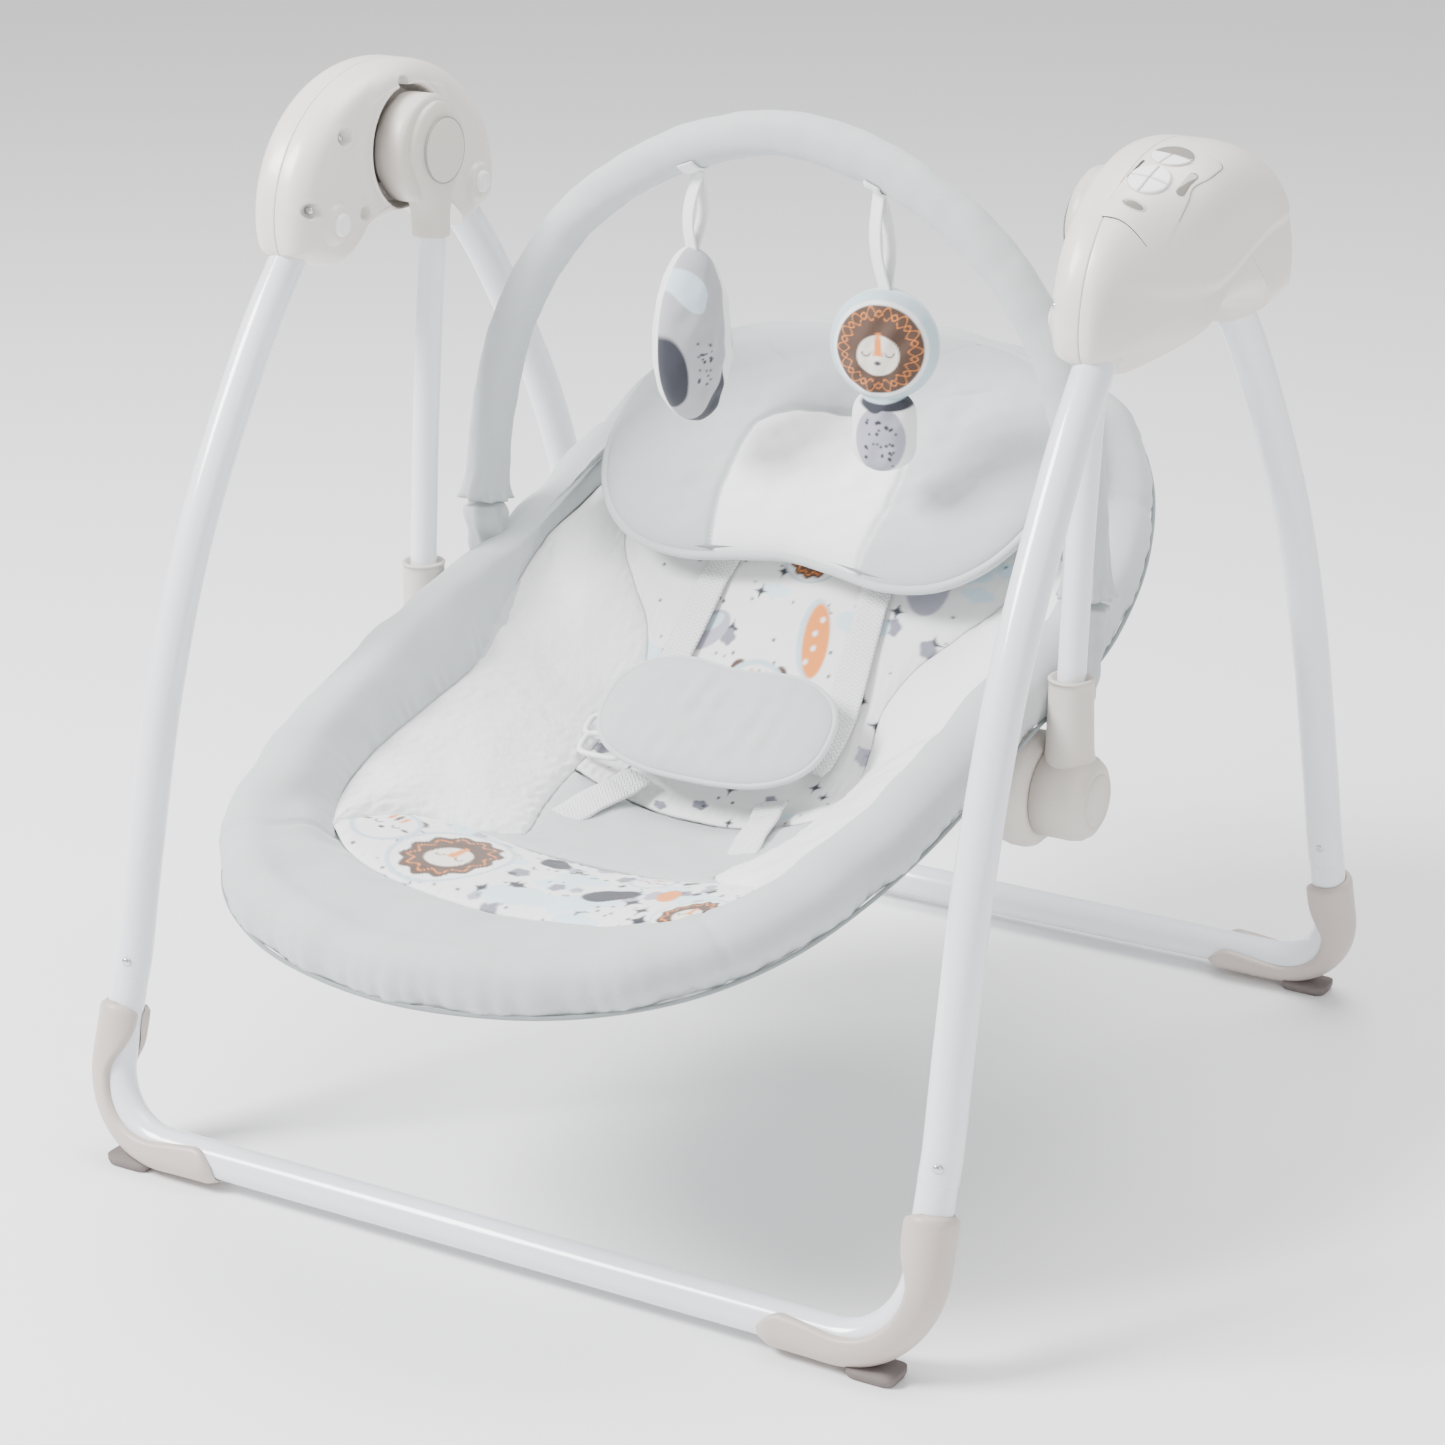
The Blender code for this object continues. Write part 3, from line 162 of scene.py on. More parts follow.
def piece(name, points, faces, body, finish, stands_for=(), colour=None, flat=None):
    """A closed smooth mesh that rides on a body.  faces is a list of index
    arrays, colour an optional rgb per point, flat an optional map per point."""
    points = np.asarray(points, float).reshape(-1, 3)
    faces = outward(points, [np.asarray(group) for group in faces])
    mesh = bpy.data.meshes.new(name)
    mesh.from_pydata((points + SHIFT).tolist(), [], sum((g.tolist() for g in faces), []))
    mesh.polygons.foreach_set("use_smooth", np.ones(len(mesh.polygons), bool))
    if colour is not None:
        rgba = np.ones((len(points), 4), np.float32)
        rgba[:, :3] = np.asarray(colour).reshape(-1, 3)
        mesh.attributes.new("print", "FLOAT_COLOR", "POINT").data.foreach_set(
            "color", rgba.ravel())
    if flat is not None:
        corner = np.zeros(len(mesh.loops), np.int32)
        mesh.loops.foreach_get("vertex_index", corner)
        uv = np.asarray(flat, np.float32).reshape(-1, 2)[corner]
        mesh.uv_layers.new(name="UVMap").data.foreach_set("uv", uv.ravel())
    mesh.materials.append(finish)
    mesh.update()
    obj = bpy.data.objects.new(name, mesh)
    bpy.context.scene.collection.objects.link(obj)
    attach(obj, body)
    if stands_for:
        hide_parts(*stands_for)
    return obj


def frames(path, closed=False):
    """Tangent and two side vectors along a path, turning as little as possible."""
    if closed:
        tangent = unit(np.roll(path, -1, 0) - np.roll(path, 1, 0))
    else:
        tangent = unit(np.gradient(path, axis=0))
    side = np.zeros_like(path)
    first = np.cross(tangent[0], (0.0, 0.0, 1.0))
    if np.linalg.norm(first) < 0.2:
        first = np.cross(tangent[0], (0.0, 1.0, 0.0))
    side[0] = unit(first)
    for i in range(1, len(path)):
        side[i] = unit(side[i - 1] - tangent[i] * (side[i - 1] @ tangent[i]))
    if closed:
        end = side[-1] - tangent[0] * (side[-1] @ tangent[0])
        other = np.cross(tangent[0], side[0])
        slip = math.atan2(end @ other, end @ side[0])
        turn = -np.linspace(0, 1, len(path), endpoint=False)[:, None] * slip
        side = side * np.cos(turn) + np.cross(tangent, side) * np.sin(turn)
    return tangent, side, np.cross(tangent, side)


def capped(rows):
    """Points and faces of a closed shape lofted through rings, a fan at each end."""
    rows = np.asarray(rows, float)
    n, m = rows.shape[:2]
    points = np.vstack([rows.reshape(-1, 3), rows[0].mean(0), rows[-1].mean(0)])
    last = np.arange(m) + (n - 1) * m
    return points, [grid_faces(n, m, wrap=True), fan(np.arange(m), n * m)[:, ::-1],
                    fan(last, n * m + 1)]


def sweep(path, radius, sides=28, closed=False, edge=0.0, ripple=None):
    """Tube along a path.  radius is one value or one per point; edge rounds the
    ends; ripple(along, around) adds to the radius."""
    path = np.asarray(path, float)
    radius = np.broadcast_to(np.asarray(radius, float), len(path)).copy()
    if edge and not closed:
        turn = np.radians((0, 30, 60, 90))[:, None]
        first, last = unit(path[0] - path[1]), unit(path[-1] - path[-2])
        path = np.vstack([(path[0] + first * edge * np.sin(turn))[::-1], path[1:-1],
                          path[-1] + last * edge * np.sin(turn)])
        shrink = edge * (1 - np.cos(turn[:, 0]))
        radius = np.r_[(radius[0] - shrink)[::-1], radius[1:-1], radius[-1] - shrink]
    _, a, b = frames(path, closed)
    around = np.linspace(0, 2 * math.pi, sides, endpoint=False)
    along = np.r_[0, np.cumsum(np.linalg.norm(np.diff(path, axis=0), axis=1))]
    r = radius[:, None] + (ripple(along[:, None], around[None, :]) if ripple else 0)
    rows = (path[:, None] + a[:, None] * (r * np.cos(around))[..., None]
            + b[:, None] * (r * np.sin(around))[..., None])
    flat = np.stack(np.broadcast_arrays(along[:, None], around[None, :] * radius.mean()), -1)
    if closed:
        faces = np.vstack([grid_faces(len(path), sides, wrap=True),
                           join_rows(len(path) - 1, 0, sides)])
        return rows.reshape(-1, 3), [faces], flat.reshape(-1, 2)
    points, faces = capped(rows)
    return points, faces, np.vstack([flat.reshape(-1, 2), flat[0, :1], flat[-1, :1]])


def join_rows(first, second, columns):
    """Quads that join two rows of a wrapped grid."""
    j = np.arange(columns)
    n = (j + 1) % columns
    return np.stack([first * columns + j, first * columns + n,
                     second * columns + n, second * columns + j], 1)


def normals(rows):
    """Unit normals of a grid of points by differences."""
    return unit(np.cross(np.gradient(rows, axis=0), np.gradient(rows, axis=1)))


def shell(top, thickness):
    """Closed sheet: a grid of points, the same grid below it, and its four edges."""
    n, m = top.shape[:2]
    normal = normals(top)
    if normal[..., 2].mean() < 0:
        normal = -normal
    low = top - normal * thickness
    points = np.vstack([top.reshape(-1, 3), low.reshape(-1, 3)])
    index = np.arange(n * m).reshape(n, m)
    rim = np.r_[index[0], index[1:, -1], index[-1, -2::-1], index[-2:0:-1, 0]]
    wall = np.stack([rim, np.roll(rim, -1), np.roll(rim, -1) + n * m, rim + n * m], 1)
    faces = [grid_faces(n, m)[:, ::-1], grid_faces(n, m, start=n * m), wall]
    return points, faces


def turned(profile, centre, axis_x, sides=64):
    """Solid of revolution about a line along X: profile of (x, radius) pairs,
    x counted from centre and multiplied by axis_x."""
    profile = np.asarray(profile, float)
    a = np.linspace(0, 2 * math.pi, sides, endpoint=False)
    x = np.broadcast_to(profile[:, :1] * axis_x, (len(profile), sides))
    rows = np.stack([x, profile[:, 1:] * np.cos(a), profile[:, 1:] * np.sin(a)], -1)
    return capped(rows + np.asarray(centre, float))


def plaque(outline, place, bottom, top, bevel, rings=8):
    """Solid with a rounded edge over a flat outline; place(xy, height) bends it."""
    outline = np.asarray(outline, float)
    middle = outline.mean(0)
    reach = np.linalg.norm(outline - middle, axis=1).mean()
    scale = [1.0, 1.0] + [1 - bevel / reach * (1 - math.cos(a)) for a in (0.5, 1.0, 1.57)]
    level = [bottom, top - bevel] + [top - bevel * (1 - math.sin(a)) for a in (0.5, 1.0, 1.57)]
    inner = np.linspace(scale[-1], 0.02, rings)[1:]
    scale, level = np.r_[scale, inner], np.r_[level, np.full(len(inner), top)]
    flat = middle + (outline - middle)[None] * scale[:, None, None]
    rows = place(flat, np.broadcast_to(level[:, None], flat.shape[:2]))
    return capped(rows)


# ---------------------------------------------------------------- finishes
class Value:
    """A shader socket with arithmetic."""

    def __init__(self, tree, socket):
        self.tree, self.socket = tree, socket

    def math(self, kind, other=0.0, third=0.0):
        node = self.tree.nodes.new("ShaderNodeMath")
        node.operation = kind
        for slot_in, value in zip(node.inputs, (self, other, third)):
            if isinstance(value, Value):
                self.tree.links.new(value.socket, slot_in)
            else:
                slot_in.default_value = value
        return Value(self.tree, node.outputs[0])

    def __add__(self, other):
        return self.math("ADD", other)

    def __mul__(self, other):
        return self.math("MULTIPLY", other)

    def sine(self):
        return self.math("SINE")


def new_finish(name, colour, rough, **settings):
    """Principled material with constants set; returns it with its tree and shader."""
    made = bpy.data.materials.new(name)
    made.use_nodes = True
    tree = made.node_tree
    shader = tree.nodes["Principled BSDF"]
    shader.inputs["Base Color"].default_value = (*colour, 1)
    shader.inputs["Roughness"].default_value = rough
    for key, value in settings.items():
        shader.inputs[key.replace("_", " ")].default_value = value
    return made, tree, shader


def noise(tree, size, detail=3.0, stretch=(1, 1, 1), source="Object"):
    """Noise in object or map space with features of the given size."""
    place = tree.nodes.new("ShaderNodeTexCoord")
    mapping = tree.nodes.new("ShaderNodeMapping")
    mapping.inputs["Scale"].default_value = stretch
    tree.links.new(place.outputs[source], mapping.inputs["Vector"])
    node = tree.nodes.new("ShaderNodeTexNoise")
    node.inputs["Scale"].default_value = 1 / size
    node.inputs["Detail"].default_value = detail
    tree.links.new(mapping.outputs["Vector"], node.inputs["Vector"])
    return Value(tree, node.outputs["Fac"])


def bump(tree, shader, height, distance, strength=1.0):
    """Bumps of a given height in metres into the shader's normal."""
    node = tree.nodes.new("ShaderNodeBump")
    node.inputs["Distance"].default_value = distance
    node.inputs["Strength"].default_value = strength
    tree.links.new(height.socket, node.inputs["Height"])
    tree.links.new(node.outputs["Normal"], shader.inputs["Normal"])


def tint(tree, shader, amount, low, high):
    """Base colour between two shades by a value."""
    node = tree.nodes.new("ShaderNodeMix")
    node.data_type = "RGBA"
    node.inputs["A"].default_value = (*low, 1)
    node.inputs["B"].default_value = (*high, 1)
    tree.links.new(amount.socket, node.inputs["Factor"])
    tree.links.new(node.outputs["Result"], shader.inputs["Base Color"])


def moulded(name, colour, rough, coat=0.0, grain=0.00004):
    """Smooth moulded plastic or paint with a faint uneven gloss."""
    made, tree, shader = new_finish(name, colour, rough, Coat_Weight=coat,
                                    Coat_Roughness=0.08)
    patch = noise(tree, 0.05)
    tree.links.new((patch * 0.10 + (rough - 0.05)).socket, shader.inputs["Roughness"])
    bump(tree, shader, noise(tree, 0.004), grain, 0.5)
    return made


def woven(name, colour, shade, rough=0.85, crease=0.0012, crease_size=0.03):
    """Plain cloth: fine thread grain, soft creases with painted shade in them, and a little
    sheen.
    """
    made, tree, shader = new_finish(name, colour, rough, Sheen_Weight=0.25,
                                    Sheen_Roughness=0.5)
    creases = noise(tree, crease_size, 4.0, (1.0, 0.6, 1.4))
    thread = noise(tree, 0.0011, 1.0)
    # base colour down by the shade factor where the crease noise sinks: painted shade in the
    # creases
    tint(tree, shader, creases, tuple(c * shade for c in colour), colour)
    bump(tree, shader, creases + thread * 0.06, crease, 0.8)
    return made


def plush_cloth(name, colour, shade, pile=0.0022):
    """Short pile cloth: tufts a few millimetres across with painted shade between them, and
    strong sheen.
    """
    made, tree, shader = new_finish(name, colour, 0.95, Sheen_Weight=0.6,
                                    Sheen_Roughness=0.6)
    tufts = noise(tree, 0.006, 4.0)
    soft = noise(tree, 0.04, 2.0)
    # base colour down by the shade factor where the tuft and fold noise sinks: painted shade
    # in the pile's hollows
    tint(tree, shader, tufts * 0.5 + soft * 0.5, tuple(c * shade for c in colour), colour)
    bump(tree, shader, tufts + soft * 2.0, pile, 0.55)
    return made


def printed_cloth(name, crease=0.0009):
    """Cloth that takes its colour from the print attribute."""
    made, tree, shader = new_finish(name, (0.85, 0.85, 0.85), 0.85, Sheen_Weight=0.2)
    dye = tree.nodes.new("ShaderNodeAttribute")
    dye.attribute_name = "print"
    tree.links.new(dye.outputs["Color"], shader.inputs["Base Color"])
    bump(tree, shader, noise(tree, 0.028, 4.0) + noise(tree, 0.0012, 1.0) * 0.08, crease, 0.8)
    return made


def webbing_cloth(name, colour):
    """Strap with slanting ribs, from a map in metres; the grooves between the ribs get painted
    shade.
    """
    made, tree, shader = new_finish(name, colour, 0.8, Sheen_Weight=0.2)
    place = tree.nodes.new("ShaderNodeTexCoord")
    split = tree.nodes.new("ShaderNodeSeparateXYZ")
    tree.links.new(place.outputs["UV"], split.inputs["Vector"])
    x, y = (Value(tree, split.outputs[k]) for k in ("X", "Y"))
    ribs = (x * 2400.0 + y.math("PINGPONG", 0.0021) * 2400.0).sine() * 0.5 + 0.5
    # base colour down to 0.80 in the grooves between ribs: painted shade
    tint(tree, shader, ribs, tuple(c * 0.80 for c in colour), colour)
    bump(tree, shader, ribs, 0.0005, 0.8)
    return made


ENAMEL = moulded("white_enamel", (0.80, 0.815, 0.86), 0.20, coat=0.5)
PEARL = moulded("pearl_plastic", (0.72, 0.685, 0.645), 0.36, coat=0.15)
GREIGE = moulded("greige_plastic", (0.60, 0.555, 0.51), 0.40)
SHOE = moulded("shoe_plastic", (0.50, 0.435, 0.40), 0.42)
RUBBER = moulded("foot_rubber", (0.16, 0.135, 0.13), 0.75)
KEY = moulded("white_keys", (0.86, 0.86, 0.86), 0.35)
SMOKE = moulded("smoked_lens", (0.22, 0.20, 0.18), 0.12, coat=0.6)
# near-black stand-in for shade: painted shade in the gap round the control panel and in the
# light slot
GAP_SHADE = moulded("painted_gap_shade", (0.03, 0.028, 0.026), 0.6)
STEEL, _tree, _shader = new_finish("steel", (0.62, 0.62, 0.64), 0.25, Metallic=1.0)
NYLON = moulded("gear_nylon", (0.80, 0.80, 0.75), 0.45)
BOARD = moulded("circuit_board", (0.02, 0.16, 0.07), 0.5)
CELL = moulded("battery_wrap", (0.04, 0.04, 0.045), 0.4)
GREY = woven("grey_cotton", (0.50, 0.535, 0.545), 0.93)
GREY_LIGHT = woven("light_grey_cotton", (0.56, 0.59, 0.60), 0.92)
PIPING = woven("grey_piping", (0.27, 0.30, 0.31), 0.9)
SLEEVE = woven("grey_sleeve", (0.50, 0.535, 0.545), 0.93, crease=0.0008, crease_size=0.02)
WHITE_PLUSH = plush_cloth("white_plush", (0.90, 0.90, 0.895), 0.93)
PRINT = printed_cloth("printed_cotton")
TOY_PRINT = printed_cloth("printed_plush", 0.0012)
WEBBING = webbing_cloth("white_webbing", (0.86, 0.86, 0.86))
RIBBON = woven("white_ribbon", (0.85, 0.85, 0.85), 0.93, crease=0.0004, crease_size=0.008)

SLOT_FINISH = {"tube_white": ENAMEL, "head_plastic": PEARL, "hub_plastic": GREIGE,
               "shoe_plastic": SHOE, "foot_rubber": RUBBER, "key_white": KEY, "lens": SMOKE,
               "steel": STEEL, "gear_nylon": NYLON, "board_green": BOARD, "battery": CELL}
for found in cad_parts.values():
    old = found.data.materials[0].name if found.data.materials else ""
    base = old.split(".")[0]
    found.data.materials.clear()
    found.data.materials.append(SLOT_FINISH.get(base, GREY))


# ---------------------------------------------------------------- tube frames
def base_curve(end):
    """Half of a U in its leaning plane, from its middle round the bend to the socket."""
    inner = BASE_HALF_X - BEND_R
    up = (SOCKET_Z - BASE_Z) / math.cos(TILT)
    half = np.vstack([[(0, 0)], arc(inner, BEND_R, BEND_R, BEND_R, -90, 0, 26),
                      [(BASE_HALF_X, up)]])
    half = np.vstack([even(half[:2], 24)[:-1], half[1:-1], even(half[-2:], 10)[1:]])
    return half, np.array((0, -end * math.sin(TILT), math.cos(TILT))), \
        np.array((0, end * BASE_Y, BASE_Z))


def leg_curve(side, end, count=90):
    """Leg axis from the socket, bowed, up into the head."""
    foot_y = BASE_Y - (SOCKET_Z - BASE_Z) * math.tan(TILT)
    rise = 0.018 * math.cos(TILT)
    profile = np.array([(foot_y, SOCKET_Z), (foot_y - rise * math.tan(TILT), SOCKET_Z + rise),
                        (0.2437, 0.180), (0.2198, 0.270), (0.1838, 0.360), (0.1286, 0.450),
                        (0.0890, 0.500), (0.0350, 0.558), (0.0270, LEG_TOP_Z)])
    line = spline(profile, count)
    share = np.clip((line[:, 1] - profile[1, 1]) / (LEG_TOP_Z - profile[1, 1]), 0, 1)
    x = BASE_HALF_X + (LEG_TOP_X - BASE_HALF_X) * share
    return np.stack([side * x, end * line[:, 0], line[:, 1]], 1)


def shoe(end, label, side):
    """Corner shoe: an L-shaped cover round the outside of the bend, open inside it.
    Rows run along the tube, columns round it from one lip to the other."""
    half, up, origin = base_curve(end)
    steps = np.linalg.norm(np.diff(half, axis=0), axis=1)
    along = np.r_[0, np.cumsum(steps)]
    corner = along[np.argmin(np.abs(half[:, 0] - (BASE_HALF_X - BEND_R * 0.293)))]
    at = np.linspace(corner - 0.078, corner + 0.066, 72)
    line = np.stack([np.interp(at, along, half[:, k]) for k in (0, 1)], 1)
    path = origin + line[:, :1] * (side, 0, 0) + line[:, 1:] * up
    tangent = unit(np.gradient(path, axis=0))
    across = np.array((0, up[2], -up[1]))            # out of the U's plane
    away = unit(np.cross(tangent, across))
    middle = np.array((side * (BASE_HALF_X - BEND_R), end * BASE_Y, BASE_Z)) + up * BEND_R
    away = away * np.sign(((path - middle) * away).sum(1))[:, None]
    t = (at - at[0]) / (at[-1] - at[0])
    bend = np.exp(-((t - 0.52) / 0.24) ** 2)          # 1 in the middle of the bend
    ends = smooth(0, 0.10, t) * smooth(1, 0.955, t)
    cover = np.radians(118 + 52 * smooth(0.70, 0.93, t) - 30 * bend
                       + 10 * smooth(0.3, 0.0, t)) * (0.55 + 0.45 * ends ** 0.5)
    a = np.linspace(-1, 1, 41)[None, :] * cover[:, None]
    lip = 1 - smooth(0.88, 1.0, np.abs(np.linspace(-1, 1, 41)))[None, :]
    tip = np.minimum(smooth(0, 0.06, t), smooth(1, 0.975, t))[:, None]
    grow = 0.0006 + 0.0032 * np.sqrt(np.clip(lip, 0, 1)) * np.sqrt(tip)
    boxy = 1 + 0.10 * bend[:, None] * np.exp(-(a / 0.8) ** 2) \
        + 0.05 * np.sin(a) ** 2 * np.cos(a).clip(0)
    radius = (TUBE_R + grow) * boxy
    outer = (path[:, None] + away[:, None] * (radius * np.cos(a))[..., None]
             + across * (radius * np.sin(a))[..., None])
    inner_r = TUBE_R + 0.0004
    inner = (path[:, None] + away[:, None] * (inner_r * np.cos(a))[..., None]
             + across * (inner_r * np.sin(a))[..., None])
    n, m = outer.shape[:2]
    points = np.vstack([outer.reshape(-1, 3), inner.reshape(-1, 3)])
    points[:, 2] = np.maximum(points[:, 2], 0.0042)
    index = np.arange(n * m).reshape(n, m)
    rim = np.r_[index[0], index[1:, -1], index[-1, -2::-1], index[-2:0:-1, 0]]
    wall = np.stack([rim, np.roll(rim, -1), np.roll(rim, -1) + n * m, rim + n * m], 1)
    node = f"{label}_foot_shoe_{'left' if side < 0 else 'right'}"
    piece(f"shoe_{node}", points, [grid_faces(n, m)[:, ::-1], grid_faces(n, m, start=n * m),
                                   wall], f"{label}_frame", SHOE, (node,))


def foot_pad(label, name):
    """Rubber pad under a corner, wider at its top."""
    low, high = (np.array(corner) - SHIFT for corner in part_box(f"{label}_foot_pad_{name}"))
    middle, half = (low + high) / 2, (high - low) / 2
    a = np.linspace(0, 2 * math.pi, 40, endpoint=False)
    square = np.stack([np.sign(np.cos(a)) * np.abs(np.cos(a)) ** 0.4,
                       np.sign(np.sin(a)) * np.abs(np.sin(a)) ** 0.4], 1)
    rows = [np.c_[middle[:2] + square * half[:2] * s, np.full(40, z)]
            for s, z in ((0.86, low[2]), (0.93, low[2] + 0.0006), (1.0, high[2] - 0.001),
                         (1.0, high[2] + 0.002))]
    points, faces = capped(rows)
    piece(f"rubber_pad_{label}_{name}", points, faces, f"{label}_frame", RUBBER,
          (f"{label}_foot_pad_{name}",))


def tube_frames():
    """Base tubes, legs, snap pins, shoes and rubber pads of both frames."""
    for label, end in ENDS:
        body = f"{label}_frame"
        half, up, origin = base_curve(end)
        whole = np.vstack([half[:0:-1] * (-1, 1), half])
        points, faces, _ = sweep(origin + whole[:, :1] * (1, 0, 0) + whole[:, 1:] * up,
                                 TUBE_R - 0.0001, 36, edge=0.001)
        piece(f"base_tube_{label}", points, faces, body, ENAMEL,
              (f"{label}_base_tube",))
        for name, side in SIDES:
            line = leg_curve(side, end)
            points, faces, _ = sweep(line, TUBE_R + 0.0002, 36, edge=0.0011)
            piece(f"leg_tube_{label}_{name}", points, faces, body, ENAMEL,
                  (f"{label}_leg_{name}",))
            pin = line[np.searchsorted(line[:, 2], SOCKET_Z + 0.011)]
            face_dir = unit((0.30, -0.95, 0.0) if end < 0 else (0.10, -0.99, 0.1))
            ball = [(TUBE_R - 0.0005, 0.0030), (TUBE_R + 0.0005, 0.0030),
                    (TUBE_R + 0.0014, 0.0024), (TUBE_R + 0.0018, 0.0012),
                    (TUBE_R + 0.0019, 0.0002)]
            points, faces = turned(ball, (0, 0, 0), 1, 24)
            across = unit(np.cross(face_dir, (0, 0, 1)))
            turn = np.stack([face_dir, across, np.cross(face_dir, across)], 1)
            piece(f"snap_pin_{label}_{name}", points @ turn.T + pin, faces, body, STEEL)
            shoe(end, label, side)
            foot_pad(label, name)


tube_frames()


# ---------------------------------------------------------------- heads
def head_ring(count=240):
    """Side outline of a head: a dome over two collars, with an arch between them."""
    dome = arc(0, HEAD_Z, 0.103, 0.085, -6, 186, 60)
    collar = [(-0.1005, 0.5085), (-0.0960, 0.5045), (-0.0700, 0.4945), (-0.0655, 0.4950),
              (-0.0610, 0.4990)]
    arch = arc(0, HEAD_Z - 0.025, 0.0597, 0.0185, 172, 8, 30)
    far = [(-y, z) for y, z in collar[::-1]]
    return spline(np.vstack([dome[1:-1], collar, arch[1:-1], far]), count, closed=True)


HEAD_RING = head_ring()
HEAD_MIDDLE = np.array((0, SWING_Z))


def bulge(y, z):
    """Depth of the motor head from its seam: fuller to the rear and above a wavy crease."""
    full = 0.46 + 0.54 * smooth(0, 1, (y + 0.1) / 0.07) * smooth(0, 1, (z - 0.48) / 0.04)
    crease = 0.549 - 0.010 * np.sin((y + 0.10) / 0.20 * 2 * math.pi) \
        + 0.012 * smooth(0.05, 0.10, y)
    return 0.050 * full * (0.955 + 0.045 * smooth(-0.004, 0.004, z - crease))


def shell_skin(side, way, depth, wall, start, power, rings, share=None):
    """Grid of a head shell: the outline shrinking as it leaves the seam, in an
    elliptic roll, then rings across the face to the swing axis."""
    a = np.linspace(0, math.pi / 2, 22)
    scale = np.r_[0.996, 0.9992, 1, 1, start + (1 - start) * np.cos(a[1:]) ** power,
                  np.linspace(start, 0.012, rings)[1:]]
    level = np.r_[0, 0.012, 0.035, wall * 0.8, wall + (1 - wall) * np.sin(a[1:]),
                  np.ones(rings - 1)]
    yz = HEAD_MIDDLE + (HEAD_RING - HEAD_MIDDLE)[None] * scale[:, None, None]
    reach = share(yz[..., 0], yz[..., 1]) if share else depth
    x = side * (SEAM_X + way * level[:, None] * reach)
    return np.stack([np.broadcast_to(x, yz.shape[:2]), yz[..., 0], yz[..., 1]], -1)


RECESS_LIP = 0.0480
SCREWS = [(-0.0040, 0.5946, 1.0), (-0.0610, 0.5710, 1.25), (-0.0915, 0.5330, 1.2),
          (-0.0445, 0.5235, 1.0)]


def inner_shell(name, side):
    """Inner half of a head with its drum recess, lip, screw wells and button bosses."""
    outline = head_ring(400) - HEAD_MIDDLE
    circle = unit(outline) * RECESS_LIP
    a = np.linspace(0, math.pi / 2, 22)[1:]
    roll = np.r_[0.996, 0.9992, 1, 1, 0.74 + 0.26 * np.cos(a) ** 0.85]
    level = np.r_[0, 0.012, 0.035, 0.20, 0.25 + 0.75 * np.sin(a)]
    share = np.linspace(0, 1, 48)[1:, None, None]
    edge = np.minimum(1, np.linalg.norm(0.74 * outline, axis=1, keepdims=True) / RECESS_LIP)
    round_in = np.r_[np.linspace(1, 0.74, 44)[1:], np.linspace(0.74, 0.02, 12)[1:]]
    flat = 0.74 * outline * (1 - share) + circle * edge * share
    yz = HEAD_MIDDLE + np.concatenate([outline * roll[:, None, None], flat,
                                       flat[-1] * round_in[:, None, None]])
    level = np.r_[level, np.ones(len(yz) - len(level))]
    x = side * (SEAM_X - level * (SEAM_X - HEAD_FACE_X))
    rows = np.concatenate([np.broadcast_to(x[:, None, None], yz.shape[:2] + (1,)), yz], 2)
    rows = rows.copy()
    y, z = rows[..., 1], rows[..., 2]
    d = np.hypot(y, z - SWING_Z)
    shift = 0.0016 * smooth(0.052, 0.042, d) + 0.0009 * np.exp(-((d - 0.0388) / 0.0010) ** 2)
    shift -= 0.017 * smooth(0.0374, 0.0362, d)
    for at_y, at_z, size in SCREWS:
        u, v = (y - at_y) / 1.25, z - at_z
        shift -= 0.0055 * smooth(0.0042 * size * 1.1, 0.0042 * size * 0.55, np.hypot(u, v))
        shift += 0.0005 * np.exp(-((np.hypot(u, v) - 0.0050 * size) / 0.0009) ** 2)
    for end in (-1, 1):
        e = np.hypot(y - end * BUTTON_Y, z - BUTTON_Z)
        shift += 0.0036 * smooth(0.0128, 0.0100, e)
    rows[..., 0] -= side * shift
    points, faces = capped(rows)
    piece(f"{name}_head_inner", points, faces, "root", PEARL,
          (f"{name}_head_inner_shell",))
    for k, (at_y, at_z, size) in enumerate(SCREWS[:3]):
        points, faces = turned([(-0.004, 0.0022), (0, 0.0022), (0.0008, 0.0016),
                                (0.001, 0.0003)],
                               (side * SCREW_X, at_y, at_z), -side, 20)
        piece(f"{name}_head_screw_{k}", points, faces, "root", STEEL)


def collar_lips(name, side):
    """Rolled lips where the legs leave a head."""
    for label, end in ENDS:
        line = leg_curve(side, end)
        at = np.searchsorted(line[:, 2], 0.5035)
        along = unit(line[at] - line[at - 2])
        near = line[at] + along * np.linspace(-0.0028, 0.010, 12)[:, None]
        radius = TUBE_R + np.interp(np.linspace(0, 1, 12), (0, 0.12, 0.3, 1),
                                    (0.0012, 0.0026, 0.0030, 0.0026))
        points, faces, _ = sweep(near, radius, 40)
        piece(f"{name}_head_lip_{label}", points, faces, "root", PEARL)


